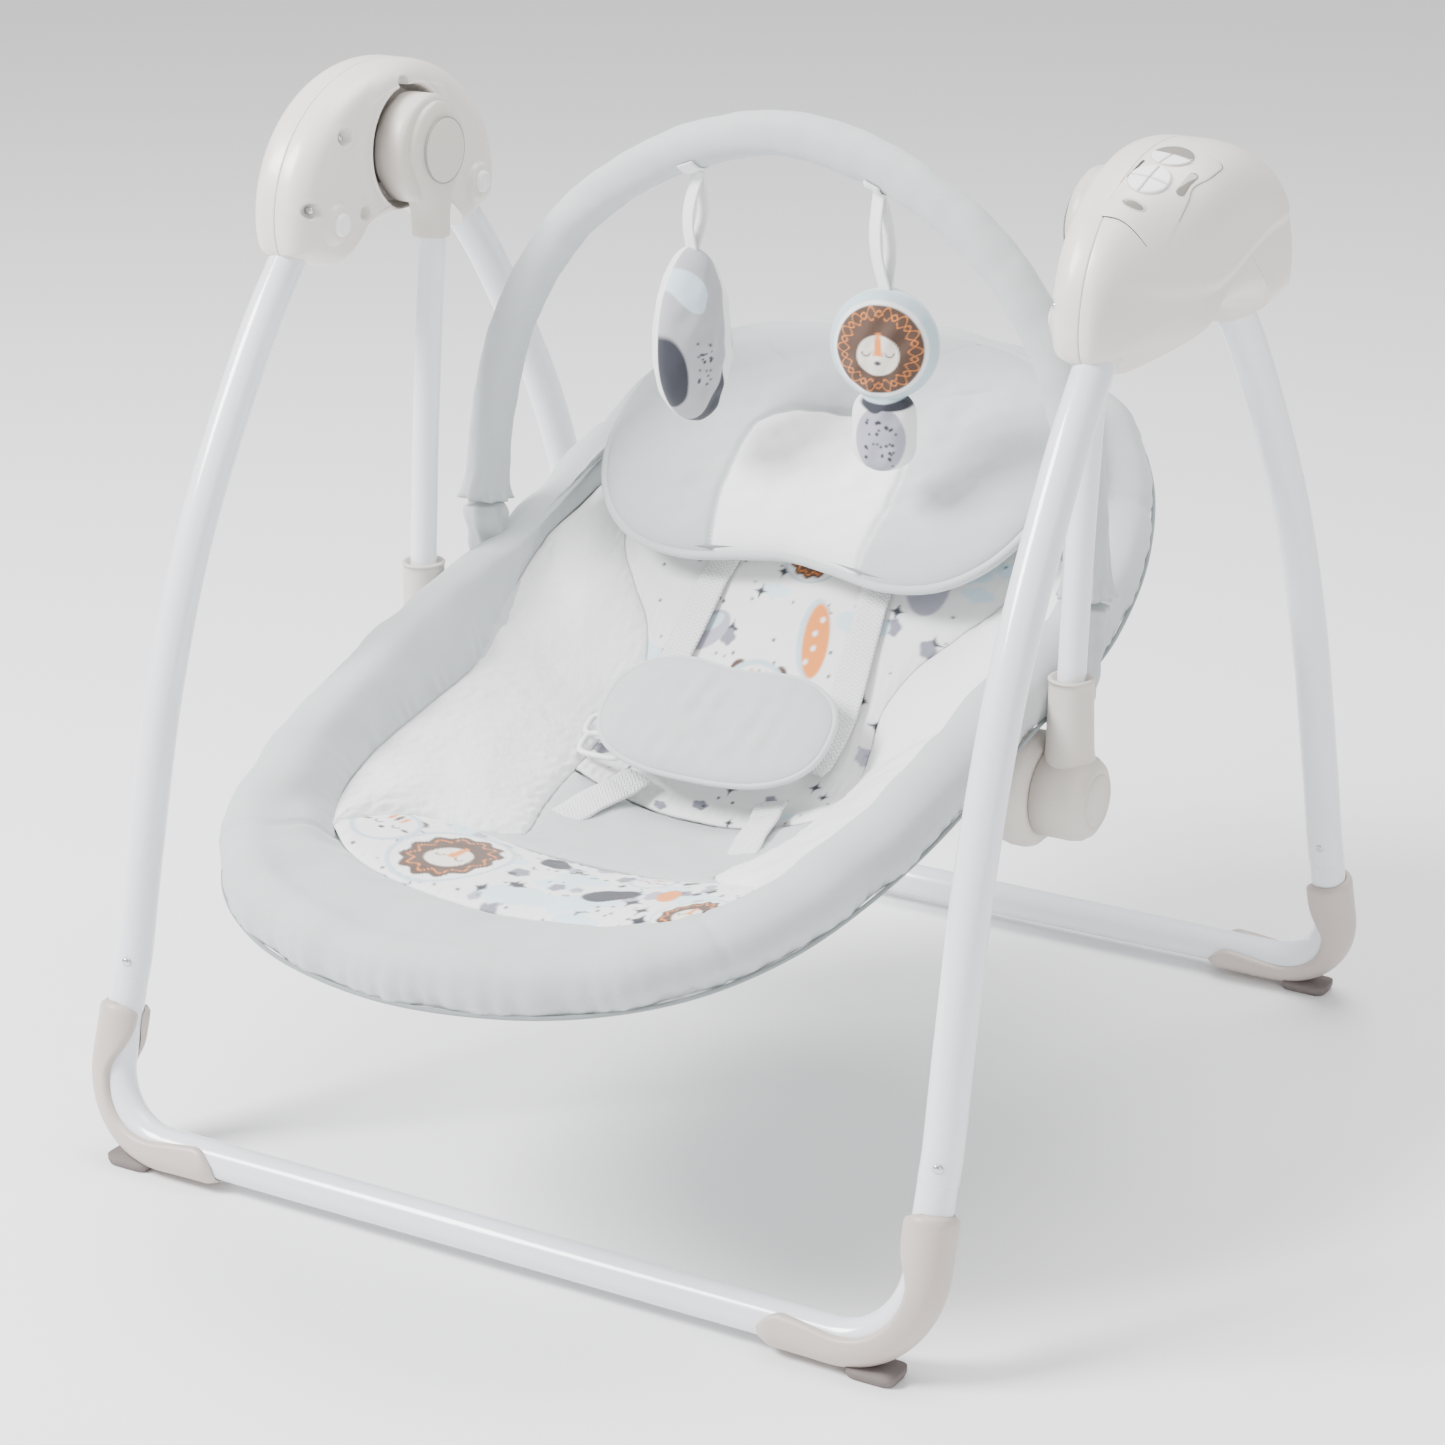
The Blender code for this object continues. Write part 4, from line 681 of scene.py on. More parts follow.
def heads():
    """Both heads with their buttons; returns the motor shell's grid of points."""
    for name, side in SIDES:
        inner_shell(name, side)
        collar_lips(name, side)
        for label, end in ENDS:
            points, faces = turned([(-0.010, 0.0068), (0.0046, 0.0068), (0.0056, 0.0062),
                                    (0.0060, 0.0050), (0.0061, 0.0048), (0.0057, 0.0044),
                                    (0.0059, 0.0006)],
                                   (side * HUB_FACE_X, end * BUTTON_Y, BUTTON_Z), -side, 40)
            node = f"{label}_fold_button_{name}"
            piece(f"button_{node}", points, faces, node, KEY, (node,))
    rows = shell_skin(-1, 1, 0.0250, 0.35, 0.62, 0.85, 40)
    points, faces = capped(rows)
    piece("left_head_outer", points + (-0.0004, 0, 0), faces, "root", PEARL,
          ("left_head_outer_shell",))
    rows = shell_skin(1, 1, 0.0500, 0.16, 0.42, 0.80, 50, share=bulge)
    points, faces = capped(rows)
    piece("motor_head_outer", points + (0.0004, 0, 0), faces, "root", PEARL,
          ("motor_housing",))
    return rows


MOTOR_SKIN = heads()


# ---------------------------------------------------------------- control panel
def panel_frame():
    """Origin and axes of the panel: across, up the slope, and out."""
    lean, tilt = math.radians(14), math.radians(27)
    across = np.array((math.cos(lean), 0, -math.sin(lean)))
    out0 = np.array((math.sin(lean), 0, math.cos(lean)))
    slope = np.array((0, 1, 0)) * math.cos(tilt) + out0 * math.sin(tilt)
    out = out0 * math.cos(tilt) - np.array((0, 1, 0)) * math.sin(tilt)
    return np.array((0.2802, -0.0465, 0.5940)), across, slope, out


def terms(x, y):
    """Powers of x and y up to the fifth, for a smooth fit."""
    x, y = x / 0.02, y / 0.035
    return np.stack([x ** i * y ** j for i in range(6) for j in range(6 - i)], -1)


PANEL_AT, PANEL_X, PANEL_Y, PANEL_OUT = panel_frame()
near = MOTOR_SKIN.reshape(-1, 3) - PANEL_AT
near = np.stack([near @ PANEL_X, near @ PANEL_Y, near @ PANEL_OUT], 1)
near = near[(np.abs(near[:, 0]) < 0.023) & (np.abs(near[:, 1]) < 0.042) & (near[:, 2] > -0.03)]
PANEL_FIT = np.linalg.lstsq(terms(near[:, 0], near[:, 1]), near[:, 2], rcond=None)[0]


def on_panel(xy, height):
    """Points of the panel's own axes put on the head's curved surface."""
    rise = terms(xy[..., 0], xy[..., 1]) @ PANEL_FIT + height
    return (PANEL_AT + xy[..., :1] * PANEL_X + xy[..., 1:] * PANEL_Y
            + rise[..., None] * PANEL_OUT)


def sector(cx, cy, radius, start, end, gap=0.0005, squash=1.0):
    """Outline of a key: a slice of a disc with a gap left on each straight side."""
    middle = math.radians((start + end) / 2)
    half = math.radians((end - start) / 2)
    back = gap / max(math.sin(half), 0.3)
    tip = np.array((math.cos(middle), math.sin(middle))) * back
    lean = math.asin(min(0.9, gap / radius))
    rim = arc(0, 0, radius, radius, start + math.degrees(lean), end - math.degrees(lean), 22)
    outline = np.vstack([even(np.vstack([rim[-1], tip, rim[0]]), 21)[1:-1], rim])
    return outline * (1, squash) + (cx, cy)


def control_panel():
    """Plate on the motor head with its keys, lens and slots."""
    x0, y0 = 0.0187, 0.035
    edge = np.vstack([[(-x0, -y0 + 0.006)], spline([(-x0 + 0.001, -y0), (-0.006, -y0 + 0.0005),
                      (0.004, -y0 - 0.0006), (0.011, -y0 - 0.0015)], 12),
                      arc(x0 - 0.007, -y0 + 0.0060, 0.007, 0.007, -80, 0, 8),
                      spline([(x0, -0.016), (x0 - 0.001, -0.005), (x0 - 0.003, 0.004),
                              (x0 - 0.0005, 0.014), (x0, 0.020)], 20),
                      arc(x0 - 0.006, y0 - 0.006, 0.006, 0.006, 0, 90, 8),
                      arc(-x0 + 0.006, y0 - 0.006, 0.006, 0.006, 90, 180, 8)])
    edge = even(np.vstack([edge, edge[:1]]), 161)[:-1]
    # near-black plaque a little wider than the plate, showing as a thin dark rim round it:
    # painted shadow in the gap
    points, faces = plaque(edge * 1.012, on_panel, -0.003, 0.00035, 0.0001, 22)
    piece("panel_shadow_gap", points, faces, "root", GAP_SHADE)
    points, faces = plaque(edge, on_panel, -0.003, 0.0008, 0.0005, 26)
    piece("panel_plate", points, faces, "root", PEARL, ("control_panel",))
    cx, cy = -0.006, -0.004
    for node, start in (("speed_key", 0), ("timer_key", 90), ("music_key", 180),
                        ("volume_key", 270)):
        points, faces = plaque(sector(cx, cy, 0.0112, start, start + 90), on_panel,
                               -0.002, 0.0021, 0.0007)
        piece(f"key_{node}", points, faces, node, KEY, (node,))
    for well_y, well in ((cy, "low"), (0.0215, "high")):
        points, faces = plaque(arc(cx, well_y, 0.0118, 0.0118, 0, 360, 61)[:-1], on_panel,
                               -0.001, 0.00095, 0.0001)
        piece(f"key_well_{well}", points, faces, "root", GREIGE)
    for k, (start, end) in enumerate(((180, 262), (262, 360))):
        points, faces = plaque(sector(cx, 0.0215, 0.0112, start, end), on_panel,
                               -0.002, 0.0021, 0.0006)
        piece(f"key_power_{k}", points, faces, "power_key", KEY,
              ("power_key",) if k == 0 else ())
    points, faces = plaque(sector(cx, 0.0215, 0.0112, 0, 180), on_panel, -0.002, 0.0013,
                           0.0003)
    piece("status_lens", points, faces, "root", SMOKE, ("display_lens",))
    # the light slot is a near-black plaque: painted shade in the slit
    slots = [("display_slot", 0.0120, 0.004, 0.0024, 0.0095, SMOKE),
             ("light_slot", -0.0172, 0.002, 0.0008, 0.0085, GAP_SHADE)]
    for name, x, y, half_x, half_y, look in slots:
        ring = np.vstack([arc(x, y + half_y - half_x, half_x, half_x, 0, 180, 12),
                          arc(x, y - half_y + half_x, half_x, half_x, 180, 360, 12)])
        points, faces = plaque(ring, on_panel, -0.001, 0.00115, 0.0002)
        piece(name, points, faces, "root", look)
    lens = arc(-0.0045, -0.0235, 0.0072, 0.0033, 0, 360, 49)[:-1]
    points, faces = plaque(lens, on_panel, -0.001, 0.0011, 0.0002)
    piece("sensor_rim", points, faces, "root", GREIGE)
    points, faces = plaque(arc(-0.0045, -0.0240, 0.0060, 0.0022, 0, 360, 49)[:-1], on_panel,
                           -0.001, 0.0014, 0.0003)
    piece("sensor_lens", points, faces, "root", SMOKE)


control_panel()


# ---------------------------------------------------------------- arms and hubs
def arm_line(side):
    """Axis of a swing arm, from the upper socket down to the lower one."""
    knots = [(0.0020, 0.530), (0.0018, 0.500), (-0.0040, 0.455), (-0.0115, 0.390),
             (-0.0165, 0.335), (-0.0190, 0.300), (-0.0190, 0.264)]
    line = spline(knots, 60)
    return np.c_[np.full(60, side * ARM_X), line]


def swing_hubs():
    """Drums in the heads, their sockets and caps, the arm tubes and the lower hubs."""
    a = np.linspace(0, 2 * math.pi, 56, endpoint=False)
    round_in = [(0, 0.0330), (0.0160, 0.0330), (0.0185, 0.0322), (0.0200, 0.0300),
                (0.0206, 0.0270), (0.0208, 0.0200)]
    for name, side in SIDES:
        points, faces, _ = sweep(arm_line(side), ARM_R, 32)
        piece(f"arm_tube_{name}", points, faces, "swing", ENAMEL,
              (f"swing_arm_{name}",))
        points, faces = turned(round_in, (side * HUB_FACE_X, 0, SWING_Z), -side, 72)
        piece(f"drum_{name}", points, faces, "swing", GREIGE,
              (f"swing_hub_{name}",))
        z = np.r_[SWING_Z + 0.0290 * np.sin(np.radians(np.linspace(88, 0, 18))),
                  np.linspace(SWING_Z - 0.003, 0.5045, 30), 0.5034, 0.5030]
        top = z >= SWING_Z
        half_y = np.where(top, np.sqrt(np.clip(0.0290 ** 2 - (z - SWING_Z) ** 2, 1e-8, 1)),
                          0.0116 + 0.0174 * smooth(0.512, SWING_Z + 0.004, z) ** 1.15)
        half_x = 0.0116 + 0.0006 * smooth(0.50, 0.55, z)
        half_x = np.where(top, half_x * (0.55 + 0.45 * half_y / 0.0290), half_x)
        tip = np.r_[np.ones(len(z) - 2), 0.985, 0.94]
        power = 1.0 - 0.50 * smooth(0.512, 0.545, z)
        c, s = np.cos(a)[None], np.sin(a)[None]
        px = np.sign(c) * np.abs(c) ** power[:, None] * (half_x * tip)[:, None]
        py = np.sign(s) * np.abs(s) ** (0.5 + 0.5 * power[:, None]) * (half_y * tip)[:, None]
        rows = np.stack([side * (ARM_X + 0.0004) + px, DRUM_ARM_Y + py,
                         np.broadcast_to(z[:, None], px.shape)], -1)
        points, faces = capped(rows)
        piece(f"drum_arm_{name}", points, faces, "swing", GREIGE)
        points, faces = turned([(0, 0.0196), (0.0012, 0.0196), (0.0018, 0.0190),
                                (0.0021, 0.0178), (0.0022, 0.010)],
                               (side * 0.2113, DRUM_ARM_Y, SWING_Z), -side, 64)
        piece(f"drum_cap_{name}", points, faces, "swing", GREIGE)
        # thin dark grey ring round the drum cap's edge on the greige plastic: painted shade in
        # the groove
        ring = arc(DRUM_ARM_Y, SWING_Z, 0.0198, 0.0198, 0, 360, 73)[:-1]
        points, faces, _ = sweep(np.c_[np.full(72, side * 0.2101), ring], 0.00045, 8,
                                 closed=True)
        piece(f"drum_groove_painted_shade_{name}", points, faces, "swing", PIPING)
        recline_hub(name, side)


def recline_hub(name, side):
    """Lower socket, hub cylinder with its cap, and the seat's disc behind it."""
    z = np.linspace(0.2300, 0.3012, 26)
    radius = np.interp(z, (0.230, 0.246, 0.262, 0.2990, 0.3012),
                       (0.0185, 0.0158, 0.0138, 0.0128, 0.0128))
    radius = np.r_[radius, 0.0134, 0.0134, 0.0128, 0.0108, 0.0096]
    z = np.r_[z, 0.3012, 0.3022, 0.3028, 0.3028, 0.2960]
    path = np.c_[np.full(len(z), side * ARM_X), np.full(len(z), HUB_Y), z]
    a = np.linspace(0, 2 * math.pi, 44, endpoint=False)
    rows = path[:, None] + np.stack([np.cos(a), np.sin(a), 0 * a], -1) * radius[:, None, None]
    points, faces = capped(rows)
    piece(f"lower_socket_{name}", points, faces, "swing", GREIGE)
    barrel = [(0, 0.0255), (0.0190, 0.0255), (0.0245, 0.0245), (0.0285, 0.0218),
              (0.0308, 0.0180), (0.0312, 0.0158), (0.0308, 0.0152), (0.0314, 0.0148),
              (0.0319, 0.0140), (0.0320, 0.0060)]
    points, faces = turned(barrel, (side * HUB_BACK_X, HUB_Y, HUB_Z), side, 72)
    piece(f"lower_hub_{name}", points, faces, "swing", GREIGE,
          (f"recline_hub_{name}",))
    disc = [(0, 0.0300), (0.0040, 0.0325), (0.0100, 0.0340), (0.0170, 0.0340),
            (0.0205, 0.0328), (0.0225, 0.0300), (0.0243, 0.0290), (0.0245, 0.0265)]
    points, faces = turned(disc, (side * DISC_BACK_X, HUB_Y, HUB_Z), side, 72)
    piece(f"recline_plate_{name}", points, faces, "seat", GREIGE,
          (f"recline_disc_{name}",))


swing_hubs()


# ---------------------------------------------------------------- seat surface
RIM = [(0.0, -0.358, 0.203), (0.060, -0.350, 0.205), (0.105, -0.331, 0.209),
       (0.140, -0.303, 0.216), (0.165, -0.262, 0.226), (0.179, -0.215, 0.238),
       (0.187, -0.160, 0.252), (0.190, -0.100, 0.268), (0.190, -0.040, 0.283),
       (0.190, 0.020, 0.294), (0.189, 0.070, 0.309), (0.182, 0.120, 0.336),
       (0.163, 0.163, 0.368), (0.128, 0.193, 0.392), (0.070, 0.209, 0.405),
       (0.0, 0.214, 0.409)]
SPINE = np.array([(-0.36, 0.206), (-0.30, 0.206), (-0.25, 0.205), (-0.20, 0.200),
                  (-0.15, 0.192), (-0.10, 0.187), (-0.065, 0.187), (-0.045, 0.193),
                  (-0.015, 0.214), (0.02, 0.253), (0.055, 0.292), (0.095, 0.326),
                  (0.135, 0.356), (0.17, 0.381), (0.193, 0.397), (0.215, 0.409)])
BAND_SEAM = [(0, -0.278), (0.04, -0.275), (0.08, -0.268), (0.108, -0.258), (0.128, -0.243),
             (0.146, -0.212), (0.157, -0.165), (0.159, -0.11), (0.159, -0.055),
             (0.166, -0.02), (0.176, 0.02), (0.179, 0.06), (0.168, 0.10), (0.147, 0.137),
             (0.112, 0.166), (0.058, 0.183), (0, 0.188)]
PRINT_TOP = [(0.1325, -0.2385), (0.123, -0.207), (0.107, -0.180), (0.082, -0.167),
             (0.046, -0.169), (0.016, -0.172), (0, -0.172)]
PLUSH_SEAM = [(0.082, -0.167), (0.067, -0.152), (0.066, -0.140), (0.077, -0.107),
              (0.083, -0.071), (0.087, -0.030), (0.085, -0.005), (0.083, 0.015),
              (0.094, 0.035), (0.113, 0.051), (0.132, 0.071), (0.142, 0.102)]
CENTRE = np.array((0.0, -0.07))


def both(half):
    """A half curve given for x >= 0, continued over to the mirrored side."""
    half = np.asarray(half, float)
    flip = np.ones(half.shape[1])
    flip[0] = -1
    return np.vstack([(half * flip)[::-1], half[1:] if half[0, 0] == 0 else half])


def loop_of(half):
    """Closed curve through a half that starts and ends on the middle line."""
    half = np.asarray(half, float)
    flip = np.ones(half.shape[1])
    flip[0] = -1
    return np.vstack([half, (half * flip)[-2:0:-1]])


RIM_LOOP = spline(loop_of(RIM), 900, closed=True)


def polar(points):
    """Angle of plan points about the seat's centre, growing from the front middle."""
    a = np.arctan2(points[..., 1] - CENTRE[1], points[..., 0] - CENTRE[0])
    return np.mod(a + math.pi / 2, 2 * math.pi)


def by_angle(loop, angle):
    """Coordinates of a closed curve where it crosses each angle."""
    a = polar(loop)
    order = np.argsort(a)
    a, loop = a[order], loop[order]
    a = np.r_[a[-1] - 2 * math.pi, a, a[0] + 2 * math.pi]
    loop = np.vstack([loop[-1:], loop, loop[:1]])
    return np.stack([np.interp(angle, a, loop[:, k]) for k in range(loop.shape[1])], -1)


def seat_height(x, y):
    """Height of the padded seat: a spine curve down its middle, rising to the rim
    as a power of the way out to it."""
    here = np.stack(np.broadcast_arrays(x, y), -1)
    edge = by_angle(RIM_LOOP, polar(here))
    way = np.linalg.norm(here - CENTRE, axis=-1) / np.linalg.norm(edge[..., :2] - CENTRE,
                                                                 axis=-1)
    low, at_edge = (np.interp(v, SPINE[:, 0], SPINE[:, 1]) for v in (here[..., 1],
                                                                    edge[..., 1]))
    return low + (edge[..., 2] + 0.008 - at_edge) * np.clip(way, 0, 1.05) ** 2.1


def on_seat(plan, lift=0.0):
    """Plan points (x, y) put on the seat and lifted along its normal."""
    step = 0.004
    x, y = plan[..., 0], plan[..., 1]
    z = seat_height(x, y)
    slope_x = (seat_height(x + step, y) - seat_height(x - step, y)) / (2 * step)
    slope_y = (seat_height(x, y + step) - seat_height(x, y - step)) / (2 * step)
    up = unit(np.stack([-slope_x, -slope_y, np.ones_like(z)], -1))
    return np.stack([x, y, z], -1) + up * np.asarray(lift)[..., None]


def between(first, second, columns):
    """Plan grid ruled from one curve to another with the same number of points."""
    t = np.linspace(0, 1, columns)[None, :, None]
    return first[:, None] * (1 - t) + second[:, None] * t


def quilted(plan, puff, reach=0.012, sink=0.0012, ends=True, seed=0, wrinkle=0.0006):
    """Lift of a stuffed panel: sunk at its seams, full inside, with soft creases."""
    n, m = plan.shape[:2]
    length = np.linalg.norm(np.diff(plan, axis=0), axis=2).sum(0).mean()
    width = np.linalg.norm(np.diff(plan, axis=1), axis=2).sum(1)[:, None]
    v = np.linspace(0, 1, m)[None]
    d = np.minimum(v, 1 - v) * np.maximum(width, 0.004)
    if ends:
        u = np.linspace(0, 1, n)[:, None]
        d = np.minimum(d, np.minimum(u, 1 - u) * length)
    x, y = plan[..., 0], plan[..., 1]
    full = 1 - np.exp(-d / reach)
    creases = waves(x, y, 0.045, seed) * full + 0.9 * waves(x * 2.2, y, 0.014, seed + 5) \
        * np.exp(-d / 0.010) * smooth(0, 0.003, d)
    return puff * full - sink * np.exp(-d / 0.0016) + wrinkle * creases


def panel(name, plan, puff, finish, slot, stands_for=(), colour=None, fill=0.5,
          thickness=0.004, **style):
    """One sewn panel of the seat cover."""
    top = on_seat(plan, quilted(plan, puff, **style))
    points, faces = shell(top, thickness)
    if colour is not None:
        colour = np.vstack([colour.reshape(-1, 3), colour.reshape(-1, 3)])
    made = piece(name, points, faces, "seat", finish, stands_for, colour)
    return made


# ---------------------------------------------------------------- print
WHITE = np.array((0.82, 0.82, 0.815))
INK = np.array((0.030, 0.032, 0.045))
ORANGE = np.array((0.78, 0.24, 0.04))
LAVENDER = np.array((0.38, 0.37, 0.45))
SKY = np.array((0.50, 0.62, 0.68))
STONE = np.array((0.22, 0.22, 0.27))
BROWN = np.array((0.085, 0.045, 0.030))
CREAM = np.array((0.80, 0.74, 0.66))
EDGE = 0.0006


def paint(colour, distance, dye):
    """Colour where a signed distance is negative, with a soft edge."""
    cover = smooth(EDGE, -EDGE, distance)[..., None]
    return colour * (1 - cover) + dye * cover


def local(x, y, at, turn=0.0):
    """Coordinates about a motif's centre, turned."""
    c, s = math.cos(turn), math.sin(turn)
    return (x - at[0]) * c + (y - at[1]) * s, -(x - at[0]) * s + (y - at[1]) * c


def star(x, y, at, size):
    """Four-pointed star."""
    u, v = local(x, y, at)
    return (np.sqrt(np.abs(u) / size) + np.sqrt(np.abs(v) / size) - 1) * size * 0.5


def oval(x, y, at, rx, ry, turn=0.0, wobble=0.0, lobes=3):
    """Ellipse, its edge wobbling a number of times."""
    u, v = local(x, y, at, turn)
    a = np.arctan2(v, u)
    return (np.hypot(u / rx, v / ry) - 1 - wobble * np.cos(lobes * a)) * min(rx, ry)


def sun_face(colour, x, y, at, size):
    """Round badge: blue rim, dark scalloped mane, pale middle with an orange wedge."""
    colour = paint(colour, oval(x, y, at, size * 1.32, size * 1.25), SKY)
    colour = paint(colour, oval(x, y, at, size * 1.22, size * 1.15), WHITE)
    colour = paint(colour, oval(x, y, at, size, size, 0, 0.06, 12), BROWN)
    colour = paint(colour, np.abs(oval(x, y, at, size * 0.80, size * 0.80, 0, 0.10, 12))
                   - 0.0005, ORANGE)
    colour = paint(colour, oval(x, y, (at[0], at[1] - size * 0.08), size * 0.50,
                                size * 0.46), CREAM)
    u, v = local(x, y, at)
    wedge = np.maximum(np.abs(u) - size * 0.11 * (1 - v / size), np.abs(v - size * 0.20)
                       - size * 0.26)
    colour = paint(colour, wedge, ORANGE)
    for way in (-1, 1):
        eye = np.abs(np.hypot(u - way * size * 0.26, v + size * 0.02) - size * 0.10) \
            - 0.0004
        colour = paint(colour, np.maximum(eye, v + size * 0.02), INK)
    return colour


def bubble(colour, x, y, at, size):
    """Pale round face in a blue outlined circle, with striped brow and ears."""
    for way in (-1, 1):
        colour = paint(colour, oval(x, y, (at[0] + way * size * 0.62, at[1] + size * 0.62),
                                    size * 0.24, size * 0.24), BROWN)
    colour = paint(colour, oval(x, y, at, size, size * 0.94), SKY)
    colour = paint(colour, oval(x, y, at, size * 0.86, size * 0.80), WHITE)
    u, v = local(x, y, at)
    for k in (-1, 0, 1):
        colour = paint(colour, oval(x, y, (at[0] + k * size * 0.22, at[1] + size * 0.48),
                                    size * 0.07, size * 0.20), ORANGE if k else BROWN)
        if k:
            colour = paint(colour, oval(x, y, (at[0] + k * size * 0.66, at[1]),
                                        size * 0.13, size * 0.06), BROWN)
            eye = np.abs(np.hypot(u - k * size * 0.30, v - size * 0.06) - size * 0.11) \
                - 0.00045
            colour = paint(colour, np.maximum(eye, v - size * 0.06), INK)
    return paint(colour, oval(x, y, (at[0], at[1] - size * 0.20), size * 0.09, size * 0.07),
                 INK)


def speckle(colour, x, y, seed, count, low, high, most=1.0):
    """Scattered dots, and stars, pebbles and clouds as most grows, over a rectangle."""
    rng = np.random.default_rng(seed)
    for k in range(count):
        at = low + (high - low) * rng.random(2)
        kind = most * rng.random()
        size = 0.7 + 0.6 * rng.random()
        if kind < 0.60:
            colour = paint(colour, oval(x, y, at, 0.0009 * size, 0.0009 * size), INK)
        elif kind < 0.76:
            colour = paint(colour, star(x, y, at, 0.0065 * size), INK)
        elif kind < 0.90:
            dye = LAVENDER if kind < 0.84 else STONE
            colour = paint(colour, oval(x, y, at, 0.0048 * size, 0.0040 * size,
                                        3 * kind, 0.10, 5), dye)
            colour = paint(colour, oval(x, y, at + 0.001, 0.0012, 0.0010), STONE)
        else:
            colour = paint(colour, oval(x, y, at, 0.012 * size, 0.0065 * size, 0, 0.16, 4),
                           SKY * 1.25)
    return colour


def print_back(plan):
    """Print of the back panel, motif by motif."""
    x, y = plan[..., 0], plan[..., 1] * 1.28
    colour = np.broadcast_to(WHITE, x.shape + (3,)).copy()
    colour = speckle(colour, x, y, 11, 230, np.array((-0.11, -0.12)), np.array((0.13, 0.14)))
    colour = bubble(colour, x, y, (-0.004, 0.012), 0.0225)
    colour = paint(colour, oval(x, y, (0.004, -0.010), 0.0075, 0.0120, 0.5), LAVENDER)
    colour = paint(colour, oval(x, y, (-0.018, -0.010), 0.0060, 0.0100, -0.5), LAVENDER)
    colour = paint(colour, oval(x, y, (0.024, 0.049), 0.0105, 0.0225, 0.25), SKY)
    colour = paint(colour, oval(x, y, (0.026, 0.048), 0.0085, 0.0210, 0.25), ORANGE)
    for k in range(4):
        colour = paint(colour, oval(x, y, (0.024 + 0.002 * (k % 2), 0.036 + 0.008 * k),
                                    0.0016, 0.0016), WHITE)
    colour = paint(colour, oval(x, y, (-0.048, 0.044), 0.0100, 0.0150, -0.9), LAVENDER)
    colour = paint(colour, oval(x, y, (-0.046, 0.049), 0.0040, 0.0070, -0.9), SKY)
    colour = paint(colour, oval(x, y, (0.000, 0.105), 0.0150, 0.0130), LAVENDER)
    colour = sun_face(colour, x, y, (0.004, 0.098), 0.0150)
    colour = paint(colour, oval(x, y, (0.082, 0.098), 0.0150, 0.0260, 0.3), LAVENDER)
    colour = bubble(colour, x, y, (0.094, 0.118), 0.0150)
    colour = paint(colour, oval(x, y, (0.052, 0.062), 0.0160, 0.0085, 0, 0.14, 4), SKY * 1.2)
    colour = paint(colour, oval(x, y, (-0.060, 0.110), 0.0120, 0.0100, 0, 0.2, 4), LAVENDER)
    colour = bubble(colour, x, y, (-0.100, 0.118), 0.0130)
    return colour


def print_front(plan):
    """Print of the front panel, motif by motif."""
    x, y = plan[..., 0], plan[..., 1] * 0.70
    colour = np.broadcast_to(WHITE, x.shape + (3,)).copy()
    colour = speckle(colour, x, y, 23, 230, np.array((-0.14, -0.20)), np.array((0.14, -0.115)))
    colour = sun_face(colour, x, y, (-0.062, -0.1570), 0.0250)
    colour = bubble(colour, x, y, (-0.112, -0.152), 0.0185)
    colour = sun_face(colour, x, y, (0.108, -0.172), 0.0150)
    colour = paint(colour, oval(x, y, (0.046, -0.160), 0.0150, 0.0085, 0.5, 0.10, 3), INK)
    colour = paint(colour, oval(x, y, (-0.014, -0.133), 0.0120, 0.0065, -0.4, 0.10, 3), INK)
    colour = paint(colour, oval(x, y, (0.006, -0.178), 0.0200, 0.0090, 0, 0.14, 4), SKY * 1.2)
    colour = bubble(colour, x, y, (0.050, -0.133), 0.0120)
    return paint(colour, oval(x, y, (0.076, -0.150), 0.0060, 0.0095, 0.5), ORANGE)


def inner_panels():
    """Front print, grey crotch, back print, two plush sides and the headrest's back."""
    count = 220
    seam = both(BAND_SEAM[:5] + [(0.1335, -0.2395)])
    low, high = spline(seam, count), spline(both(PRINT_TOP[::-1]), count)
    plan = between(low, high, 90)
    panel("front_print_panel", plan, 0.0030, PRINT, "white_fabric", ("seat_cushion",),
          colour=print_front(plan), seed=3)
    right = spline(PLUSH_SEAM, 150)
    split = 0.385
    cut = int(len(right) * split)
    for name, edge, columns in (("crotch_panel", right[:cut], 90),
                                ("back_print_panel", right[cut:], 190)):
        edge = even(edge, 80 if columns == 90 else 210)
        plan = between(edge * (-1, 1), edge, columns)
        if name == "crotch_panel":
            panel(name, plan, 0.0035, GREY, "grey_fabric", seed=8)
        else:
            panel(name, plan, 0.0030, PRINT, "white_fabric", ("back_cushion",),
                  colour=print_back(plan), seed=12)
    outer = spline([(0.1335, -0.2375)] + BAND_SEAM[5:13], 210)
    first = spline(PRINT_TOP[:4] + PLUSH_SEAM[1:], 210)
    for name, side in SIDES:
        plan = between(first, outer, 70) * (side, 1)
        if side < 0:
            plan = plan[:, ::-1]
        panel(f"plush_side_{name}", plan, 0.0085, WHITE_PLUSH, "white_fabric", seed=20 + side,
              reach=0.016, wrinkle=0.0009)
    rim = spline(both(BAND_SEAM[12:][::-1]), 160)
    base = np.stack([np.linspace(-0.168, 0.168, 160), np.full(160, 0.1)], 1)
    panel("backrest_top_panel", between(base, rim, 60), 0.003, GREY, "grey_fabric", seed=31)


def rim_frame(count):
    """Per station round the rim: angle, rim point, outward and upward directions."""
    loop = RIM_LOOP
    angle = np.linspace(0, 2 * math.pi, count, endpoint=False)
    rim = by_angle(loop, angle)
    tangent = unit(np.roll(rim, -1, 0) - np.roll(rim, 1, 0))
    lean = smooth(-0.05, 0.12, rim[:, 1])[:, None]
    up = np.concatenate([0 * lean, -0.62 * lean, 1 - 0.22 * lean], 1)
    up = unit(up - tangent * (up * tangent).sum(1, keepdims=True))
    out = unit(np.cross(tangent, up))
    return angle, rim, out, up


